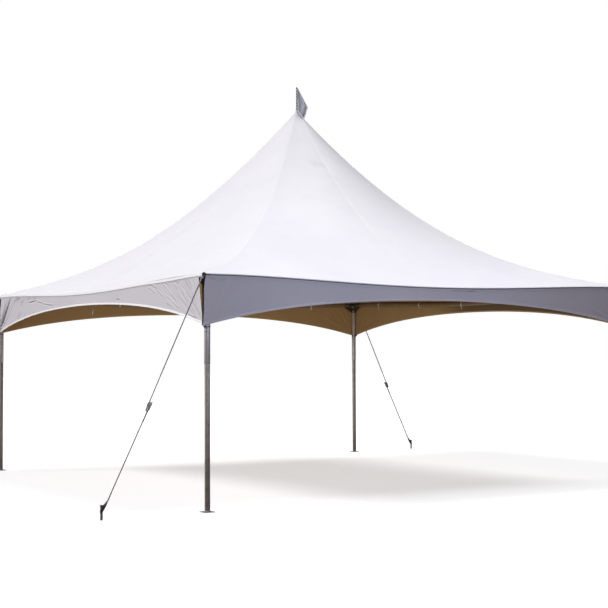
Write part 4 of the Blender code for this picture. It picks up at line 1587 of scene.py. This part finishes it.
def buildPennant():
    hoist, tipR, tipZ = pennantSet["hoist"], *pennantSet["tip"]
    cornerR, cornerZ = pennantSet["corner"]
    bend = pennantSet["bend"]
    turn = Matrix.Rotation(math.radians(pennantSet["aim"]), 4, "Z")

    def flat(across, down):  # the four-sided cut: top, foot, tip and corner
        inner = Vector((hoist, pennantSet["topZ"] + (pennantSet["footZ"] - pennantSet["topZ"]) * down))
        if down < bend:
            share = down / bend
            outer = Vector((hoist + 0.004 + (cornerR - hoist - 0.004) * share,
                            pennantSet["topZ"] + (cornerZ - pennantSet["topZ"]) * share))
        else:
            share = (down - bend) / (1.0 - bend)
            outer = Vector((cornerR + (tipR - cornerR) * share, cornerZ + (tipZ - cornerZ) * share))
        return inner.lerp(outer, across)

    def lowest(reach):  # over the boot's collar, then close over the fabric
        spot = turn @ Vector((reach, 0.0, 0.0))
        overBoot = reach < bootSet["radius"] + 0.003
        fabric = roofHeight(spot.x, spot.y) + (0.0100 if overBoot else pennantSet["clear"])
        return fabric + (pennantSet["footZ"] - fabric) * smooth((0.034 - reach) / 0.020)

    def place(across, down, proud=0.0):
        spot = flat(across, down)
        spot.y += (lowest(spot.x) - spot.y) * max(down, 0.0) ** 8
        wave = pennantSet["wave"] * across * math.sin(2.6 * math.pi * across + 3.0 * down) * (0.4 + down)
        wave += 0.004 * across * noise.noise((across * 3.0, down * 5.0, 2.0))
        return turn @ Vector((spot.x, -wave + proud, spot.y))

    def sheetPlace(u, v):
        return place((u + 1.0) / 2.0, v)
    cloth = gridSheet("pennant", pennantSet["columns"], pennantSet["rows"], sheetPlace)
    thicken(cloth, pennantSet["thickness"], pennantCloth)
    keep(cloth, "pennantCloth", ["pennant"])
    width = pennantSet["hem"]

    def binding(spots, inward):  # a folded strip along one edge, round the cloth's rim
        front, back = pennantSet["hemFaces"]
        rings = []
        for across, down in spots:
            a2, d2 = across + inward[0], down + inward[1]
            rings.append([place(across, down, front), place(a2, d2, front),
                          place(a2, d2, back), place(across, down, back)])
        return sweepBand("hem", rings)
    shares = [k / 40 for k in range(41)]
    edges = [binding([(0.0, share) for share in shares], (width / 0.075, 0.0)),
             binding([(1.0, bend * share) for share in shares], (-width / 0.15, 0.0)),
             binding([(1.0, bend + (1.0 - bend) * share) for share in shares], (-width / 0.12, 0.0)),
             binding([(share, 1.0) for share in shares], (0.0, -width / 0.26))]
    # its binding glows white: painted light
    hem = keep(finished(edges, hemWhitePaintedGlow), "pennantHem")
    loops = []
    for k in range(pennantSet["laces"]):  # white tape lacing round the pole
        z = pennantSet["footZ"] + pennantSet["laceFrom"] + k * pennantSet["laceStep"]
        points, outs = [], []
        for step in range(29):
            angle = 2.0 * math.pi * step / 28
            points.append(turn @ Vector((0.0030 + 0.0118 * math.cos(angle), 0.0102 * math.sin(angle),
                                         z + 0.004 * math.cos(angle))))
            outs.append(turn @ Vector((math.cos(angle), math.sin(angle), 0.0)))
        loops.append(tape(points, outs, *pennantSet["laceTape"]))
    lacing = keep(finished(loops, whiteWebbing), "pennantLacing")


buildPennant()
print("pennant made")


# guys: webbing looped round the corner's pin and the stake's neck, tightened by a ratchet

guySet = {
    "width": 0.0245,
    "thickness": 0.0018,
    "pinGap": 0.0064,        # pin's axis to the middle of the tape round it
    "neck": 0.045,           # where the two layers of a loop come together
    "overlap": 0.135,        # and where the sewn part ends
    "sleeve": 0.085,         # how far a lighter sleeve covers the loop
    "ratchetAt": 1.42,       # from the eye, down the strap
    "ratchetDrop": 0.0225,   # its frame under the strap's line, so the roll's top is in line
    "stakeX": -4.19,
    "stakeLoopZ": 0.080,
    "stakeRadius": 0.0125,
    "stakeTopZ": 0.150,
    "splitUp": 0.13,         # where the tape parts to go round the stake
}


def loopedEnd(pin, away, out, gap):
    # from the sewn end up one face, round the pin and back down the other
    pin, layer = Vector(pin), 0.56 * guySet["thickness"]
    neck, overlap = guySet["neck"], guySet["overlap"]
    reaches = [overlap - (overlap - neck) * k / 6 for k in range(6)]
    reaches += [neck * (1.0 - k / 8) for k in range(8)]

    def offset(reach):
        return layer + (gap - layer) * smooth(1.0 - reach / neck)
    points = [pin + away * reach - out * offset(reach) for reach in reaches]
    outs = [-out for _ in reaches]
    for k in range(13):
        angle = math.pi * k / 12
        aim = -out * math.cos(angle) - away * math.sin(angle)
        points.append(pin + aim * gap)
        outs.append(aim)
    for reach in reversed(reaches):
        points.append(pin + away * reach + out * offset(reach))
        outs.append(out)
    return points, outs


def stitches(start, away, out, reaches):
    # bar tacks across the sewn part, standing a little proud on both faces
    across = away.cross(out)
    turn = Matrix((across, away, out)).transposed().to_4x4()
    size = (0.021, 0.0028, 2.2 * guySet["thickness"] + 0.0012)
    return [block(size, start + away * reach, turn, 0.0005, 1) for reach in reaches]


ratchetSet = {
    # outlines from the side: along the strap from the ratchet's middle, and out from it
    "cheek": [(-0.040, -0.004), (0.044, -0.004), (0.050, 0.002), (0.050, 0.009), (0.044, 0.013),
              (0.004, 0.013), (-0.006, 0.021), (-0.026, 0.021), (-0.036, 0.012), (-0.040, 0.004)],
    "arm": [(-0.024, 0.004), (-0.024, 0.018), (-0.014, 0.026), (0.000, 0.026), (0.058, 0.020),
            (0.062, 0.012), (0.056, 0.009), (0.004, 0.008), (-0.006, 0.002), (-0.018, 0.000)],
    # how far each plate is from the middle, its thickness and bevel
    "cheekPlate": (0.0165, 0.0020, 0.0004),
    "wheelPlate": (0.0192, 0.0018, 0.0),
    "armPlate": (0.0218, 0.0018, 0.0004),
    "teeth": 13,
    "tooth": ((0.0, 0.0185), (0.62, 0.0150)),  # share of its pitch, and radius, at tip and root
    # flat parts: size, place and bevel
    "bed": ((0.062, 0.033, 0.0018), (0.014, 0, -0.0035), 0.0006),
    "grip": ((0.034, 0.0425, 0.0018), (0.036, 0, 0.0195), 0.0007),
    # bars across it: place along and out, half length, radius, sides and bevel
    "spool": (-0.015, 0.010, 0.0250, 0.0048, 24, 0.0006),
    "bolt": (0.042, 0.004, 0.0190, 0.0036, 20, 0.0006),
    "handle": (0.057, 0.0155, 0.0235, 0.0062, 24, 0.0014),
    "roll": (-0.015, 0.010, 0.0122, 0.0125, 36, 0.0012),
}


def buildRatchet(centre, away, out):
    # frame, spool with its toothed wheels, and the handle folded down over them
    across = away.cross(out)
    place = Matrix.Translation(centre) @ Matrix((away, -across, out)).transposed().to_4x4()
    upright = place @ Matrix.Rotation(math.radians(90.0), 4, "X")

    def at(x, y, z):
        return place @ Vector((x, y, z))

    def slab(name):
        size, spot, bevel = ratchetSet[name]
        return block(size, (0, 0, 0), place @ Matrix.Translation(spot), bevel)

    def bar(name):
        x, z, half, radius, around, bevel = ratchetSet[name]
        return rod(at(x, -half, z), at(x, half, z), radius, around, bevel=bevel)
    (spoolX, spoolZ), (boltX, boltZ) = ratchetSet["spool"][:2], ratchetSet["bolt"][:2]
    teeth = ratchetSet["teeth"]
    wheel = []
    for tooth in range(teeth):
        for turn, reach in ratchetSet["tooth"]:
            angle = 2.0 * math.pi * (tooth + turn) / teeth
            wheel.append((spoolX + reach * math.cos(angle), spoolZ + reach * math.sin(angle)))
    outlines = {"cheek": ratchetSet["cheek"], "wheel": wheel, "arm": ratchetSet["arm"]}
    metal = [slab("bed")]
    for way in (-1, 1):
        for name, outline in outlines.items():
            off, thickness, bevel = ratchetSet[name + "Plate"]
            metal.append(plate(outline, thickness, upright @ Matrix.Translation((0, 0, way * off)), bevel))
    metal += [bar("spool"), bar("bolt"), bar("handle"), slab("grip")]
    return metal, [bar("roll")], at(spoolX, 0, spoolZ), at(boltX, 0, boltZ)


def buildGuys():
    eye = eyePoint()
    stake = Vector((guySet["stakeX"], eye.y, guySet["stakeLoopZ"]))
    low = stake + Vector((0.0175, 0.0, 0.0))
    away = (low - eye).normalized()
    out = Vector((away.z, 0.0, -away.x))  # up and away from the tent
    width, thickness = guySet["width"], guySet["thickness"]
    centre = eye + away * guySet["ratchetAt"] - out * guySet["ratchetDrop"]
    metal, roll, spool, bolt = buildRatchet(centre, away, out)
    points, outs = loopedEnd(eye, away, out, guySet["pinGap"])
    reachSpool = (spool - eye).dot(away)
    for k in range(1, 13):  # down to the top of the roll on the spool
        share = k / 12
        reach = guySet["overlap"] + (reachSpool - guySet["overlap"]) * share
        points.append(eye + away * reach + out * 0.001)
        outs.append(out)
    upperTape = tape(points, outs, width, thickness)
    split = low - away * guySet["splitUp"]
    downward = (split - bolt).normalized()
    face = Vector((downward.z, 0.0, -downward.x))
    points, outs = loopedEnd(bolt, downward, face, 0.0050)
    sewnEnd = points[-1]
    for k in range(1, 9):
        points.append(sewnEnd.lerp(split + out * 0.001, k / 8))
        outs.append(face.lerp(out, k / 8))
    # the tape parts, turns on its edge and goes round the stake
    hold = guySet["stakeRadius"] + 0.0015
    plan = split.x - stake.x
    touch = math.acos(hold / plan)
    slope = (split.z - low.z) / plan

    def legOf(way):  # from the split to where it meets the stake
        end = stake + Vector((hold * math.cos(touch), -way * hold * math.sin(touch), 0.55 * slope * hold))
        radial = Vector((math.cos(touch), -way * math.sin(touch), 0.0))
        for k in range(1, 12):
            share = k / 12
            spot = (split + out * (way * 0.001)).lerp(end, share)
            yield spot, (out * way).slerp(radial, smooth(share))
    for spot, face in legOf(1):
        points.append(spot)
        outs.append(face)
    for k in range(25):
        angle = -touch - (2.0 * math.pi - 2.0 * touch) * k / 24
        radial = Vector((math.cos(angle), math.sin(angle), 0.0))
        dip = 0.55 * slope * hold * (math.cos(angle) - math.cos(touch)) / (1.0 + math.cos(touch))
        points.append(stake + radial * hold + Vector((0.0, 0.0, 0.55 * slope * hold + dip)))
        outs.append(radial)
    for spot, face in reversed(list(legOf(-1))):
        points.append(spot)
        outs.append(face)
    for k in range(9):
        points.append(split - out * (0.56 * thickness) - away * (0.075 * k / 8))
        outs.append(-out)
    lowerTape = tape(points, outs, width, thickness)
    tacks = stitches(eye, away, out, (0.052, 0.090, 0.128))
    tacks += stitches(bolt, downward, face, (0.052, 0.128)) + stitches(split, -away, out, (0.012, 0.066))
    straps = finished([upperTape, lowerTape] + roll, guyWebbing)
    straps.data.materials.append(greyWebbingPaintedShade)  # the loop's lighter sleeve
    for part in straps.data.polygons:
        part.material_index = 1 if (part.center - eye).length < guySet["sleeve"] else 0
    atCorners(straps, "guyStrap", "guy_strap")
    atCorners(finished(tacks, darkWebbing), "guyStitching")
    atCorners(finished(metal, boltZinc), "guyRatchet")


def buildStakes():
    top, radius = guySet["stakeTopZ"], guySet["stakeRadius"]
    head = radius + 0.0065
    profile = [(0.0, top), (0.006, top - 0.0002), (0.012, top - 0.0012), (0.016, top - 0.0030),
               (head - 0.0008, top - 0.0052), (head, top - 0.0074), (head - 0.0006, top - 0.0100),
               (head - 0.0022, top - 0.0118), (radius + 0.0012, top - 0.0128), (radius, top - 0.0150),
               (radius, 0.10), (radius, 0.05), (radius, 0.0), (0.0, 0.0)]
    pin = turned(profile, 40, Matrix.Translation((guySet["stakeX"], -tent["legHalf"], 0.0)))
    atCorners(finished([pin], stakeSteel), "groundStake", "ground_stake")


buildGuys()
buildStakes()
print("guys and stakes made")

# corner webbing: a dark strap down beside each leg, its lashing, and the rings that it holds

lashSet = {
    "width": 0.024,
    "thickness": 0.0020,
    "stand": 0.0338,         # strap's plane from the leg's axis, along the diagonal
    "aside": 0.0326,         # and its middle towards the guyed side
    "topZ": 2.412,
    "lowZ": 1.902,
    "loopRadius": 0.0328,
    "loopWidth": 0.009,
    "loopZ": 1.897,
    "loopTilt": 0.010,
    "ringAt": 198.0,         # degrees about the leg's axis
    "ringRadius": 0.0160,
    "ringWire": 0.0028,
    # where a tab is sewn to each valance's lower corner, and the way that it looks there
    "sewnTo": (((-3.0615, -2.985, 1.921), (-1, 0, 0)), ((-3.035, -3.0620, 1.915), (0, -1, 0))),
    "tab": (0.014, 0.0016),  # width and thickness
    "knob": (-3.078, -3.058, 2.4265),   # the ring at the roof's corner
    "knobAim": (-0.62, -0.78, 0.0),
    "knobRadius": 0.0165,
    "knobWire": 0.0042,
    "turn": (0.018, 0.0022),
    "flap": (0.0265, 0.0022),
    "under": (0.014, 0.0022),
    "underFrom": (-3.035, -3.035, 2.4185),
}


def buildLashing():
    axis = Vector((-tent["legHalf"], -tent["legHalf"], 0.0))
    out = Vector((-1, -1, 0)).normalized()
    aside = Vector((-1, 1, 0)).normalized()
    width, thickness = lashSet["width"], lashSet["thickness"]
    points = []
    for k in range(41):
        share = k / 40
        z = lashSet["topZ"] + (lashSet["lowZ"] - lashSet["topZ"]) * share
        stand = lashSet["stand"] + 0.0046 * smooth((z - 2.19) / 0.06) + 0.0012 * math.sin(9.0 * share)
        points.append(axis + out * stand + aside * lashSet["aside"] + Vector((0, 0, z)))
    straps = [tape(points, [out] * len(points), width, thickness)]
    # round the leg, lowest towards the outside corner
    points, outs = [], []
    for k in range(49):
        angle = math.radians(20.0 + 7.5 * k)
        aim = Vector((math.cos(angle), math.sin(angle), 0.0))
        z = lashSet["loopZ"] - lashSet["loopTilt"] * math.cos(angle - math.radians(232.0))
        points.append(axis + aim * (lashSet["loopRadius"] + 0.00004 * k) + Vector((0, 0, z)))
        outs.append(aim)
    straps.append(tape(points, outs, lashSet["loopWidth"], 0.0013))
    # short tabs sewn to both valances' lower corners
    ringPlace = math.radians(lashSet["ringAt"])
    ringAim = Vector((math.cos(ringPlace), math.sin(ringPlace), 0.0))
    ringCentre = axis + ringAim * (lashSet["loopRadius"] + 0.0040) + Vector((0, 0, lashSet["loopZ"] + 0.002))
    grip = ringCentre + Vector((0, 0, 0.012))
    for spot, way in lashSet["sewnTo"]:
        corner, face = Vector(spot), Vector(way)
        middle = (corner + grip) / 2 + Vector((0, 0, -0.006)) + out * 0.004
        outs = [face.lerp(out, k / 5) for k in range(6)]
        straps.append(tape(arc(corner, middle, grip, 5), outs, *lashSet["tab"]))
    atCorners(finished(straps, darkWebbing), "legLashing")
    rings = [wireRing(ringCentre, ringAim, lashSet["ringRadius"], lashSet["ringWire"])]
    # the ring at the roof's corner, in a tab from under the fold
    knob, ringHalf = Vector(lashSet["knob"]), lashSet["knobRadius"]
    facing = Vector(lashSet["knobAim"]).normalized()
    rings.append(wireRing(knob, facing, ringHalf, lashSet["knobWire"]))
    atCorners(finished(rings, fittingSteel), "cornerRings")
    tabs = []
    for way, drop in ((-1, 0.0), (1, 0.004)):  # two webbing turns from the ring to the guy's pin
        start = knob + Vector((0, 0, -ringHalf)) + facing * (0.004 * way)
        end = eyePoint() + Vector((0.004, -0.006 * way, 0.0035 - drop))
        middle = (start + end) / 2 + facing * 0.010
        tabs.append(tape(arc(start, middle, end, 6), [facing] * 7, *lashSet["turn"]))
    across = facing.cross(Vector((0, 0, 1)))
    flap = knob - facing * 0.0058 + across * 0.002
    points = [flap + Vector((0, 0, 0.0125 - 0.038 * k / 6)) for k in range(7)]
    tabs.append(tape(points, [facing] * 7, *lashSet["flap"]))
    inner, under = Vector(lashSet["underFrom"]), knob - Vector((0, 0, 0.012))
    points = [inner.lerp(under, k / 4) - Vector((0, 0, 0.002 * math.sin(math.pi * k / 4))) for k in range(5)]
    tabs.append(tape(points, [Vector((0, 0, 1))] * 5, *lashSet["under"]))
    # the tabs' grey is painted shade
    atCorners(finished(tabs, greyWebbingPaintedShade), "cornerTabs")


buildLashing()
print("corner webbing made")

# ties that hold the top to the eave tubes

tieSet = {
    "along": (-2.2, -1.1, 0.22, 1.2, 2.3),
    "width": 0.020,
    "thickness": 0.0016,
    "tail": 0.055,           # most tails are short
}
# tails that show under an arch: how far each leans along the tube, and its length
longTails = {("left", 2): (-0.160, 0.205), ("right", 2): (0.0, 0.062), ("right", 3): (0.0, 0.024),
             ("back", 3): (0.0, 0.024)}


def buildTies():
    radius, half = tent["tubeRadius"] + 0.0014, tent["legHalf"]
    draw = random.Random(31)
    for side, turn in sides.items():
        ties = []
        for index, s in enumerate(tieSet["along"]):
            s += draw.uniform(-0.03, 0.03)
            z = tent["tubeZ"] - eaveDrop(s)
            centre = Vector((s, -half, z))
            points, outs = [], []
            for k in range(33):  # down from the fold, round the tube, and back on itself
                angle = math.radians(100.0 + 12.0 * k)
                aim = Vector((0.0, math.cos(angle), math.sin(angle)))
                points.append(centre + aim * (radius + 0.00006 * k))
                outs.append(aim)
            ties.append(tape(points, outs, tieSet["width"], tieSet["thickness"]))
            shift, tail = longTails.get((side, index), (draw.uniform(-0.004, 0.004), tieSet["tail"]))
            tail *= draw.uniform(0.85, 1.15) if (side, index) not in longTails else 1.0
            foot = centre + Vector((0.0, radius * 0.55, -radius * 0.84))
            points, outs = [], []
            for k in range(13):
                share = k / 12
                bow = 0.006 * math.sin(2.2 * math.pi * share)
                points.append(foot + Vector((shift * share ** 1.5, 0.004 * share + bow, -tail * share)))
                outs.append(Vector((0.35 * math.sin(2.0 * share), 1.0, 0.10)))
            ties.append(tape(points, outs, tieSet["width"], tieSet["thickness"]))
        whole = finished(ties, tieWebbingPaintedShade)
        whole.data.transform(Matrix.Rotation(math.radians(turn), 4, "Z"))
        keep(whole, "eaveTies" + side.capitalize())


buildTies()
print("ties made")

# the pale floor

floorSet = {
    "size": 160.0,
    "z": -0.0005,
    "grey": (0.45, 0.45, 0.45, 1.0),
    "glow": 0.62,            # pale, with the shadows still soft on it
}


def buildFloor():
    finish = Finish("paleFloor", Roughness=0.9, Emission_Strength=floorSet["glow"])
    finish.shader.inputs["Emission Color"].default_value = (1.0, 1.0, 1.0, 1.0)
    finish.shader.inputs["Base Color"].default_value = floorSet["grey"]
    deselectAll()
    bpy.ops.mesh.primitive_plane_add(size=floorSet["size"], location=(0.0, 0.0, floorSet["z"]))
    floor = bpy.context.object
    floor.name = "floor"
    floor.data.materials.append(finish.material)
    floor.visible_diffuse = False
    floor.visible_glossy = False


buildFloor()
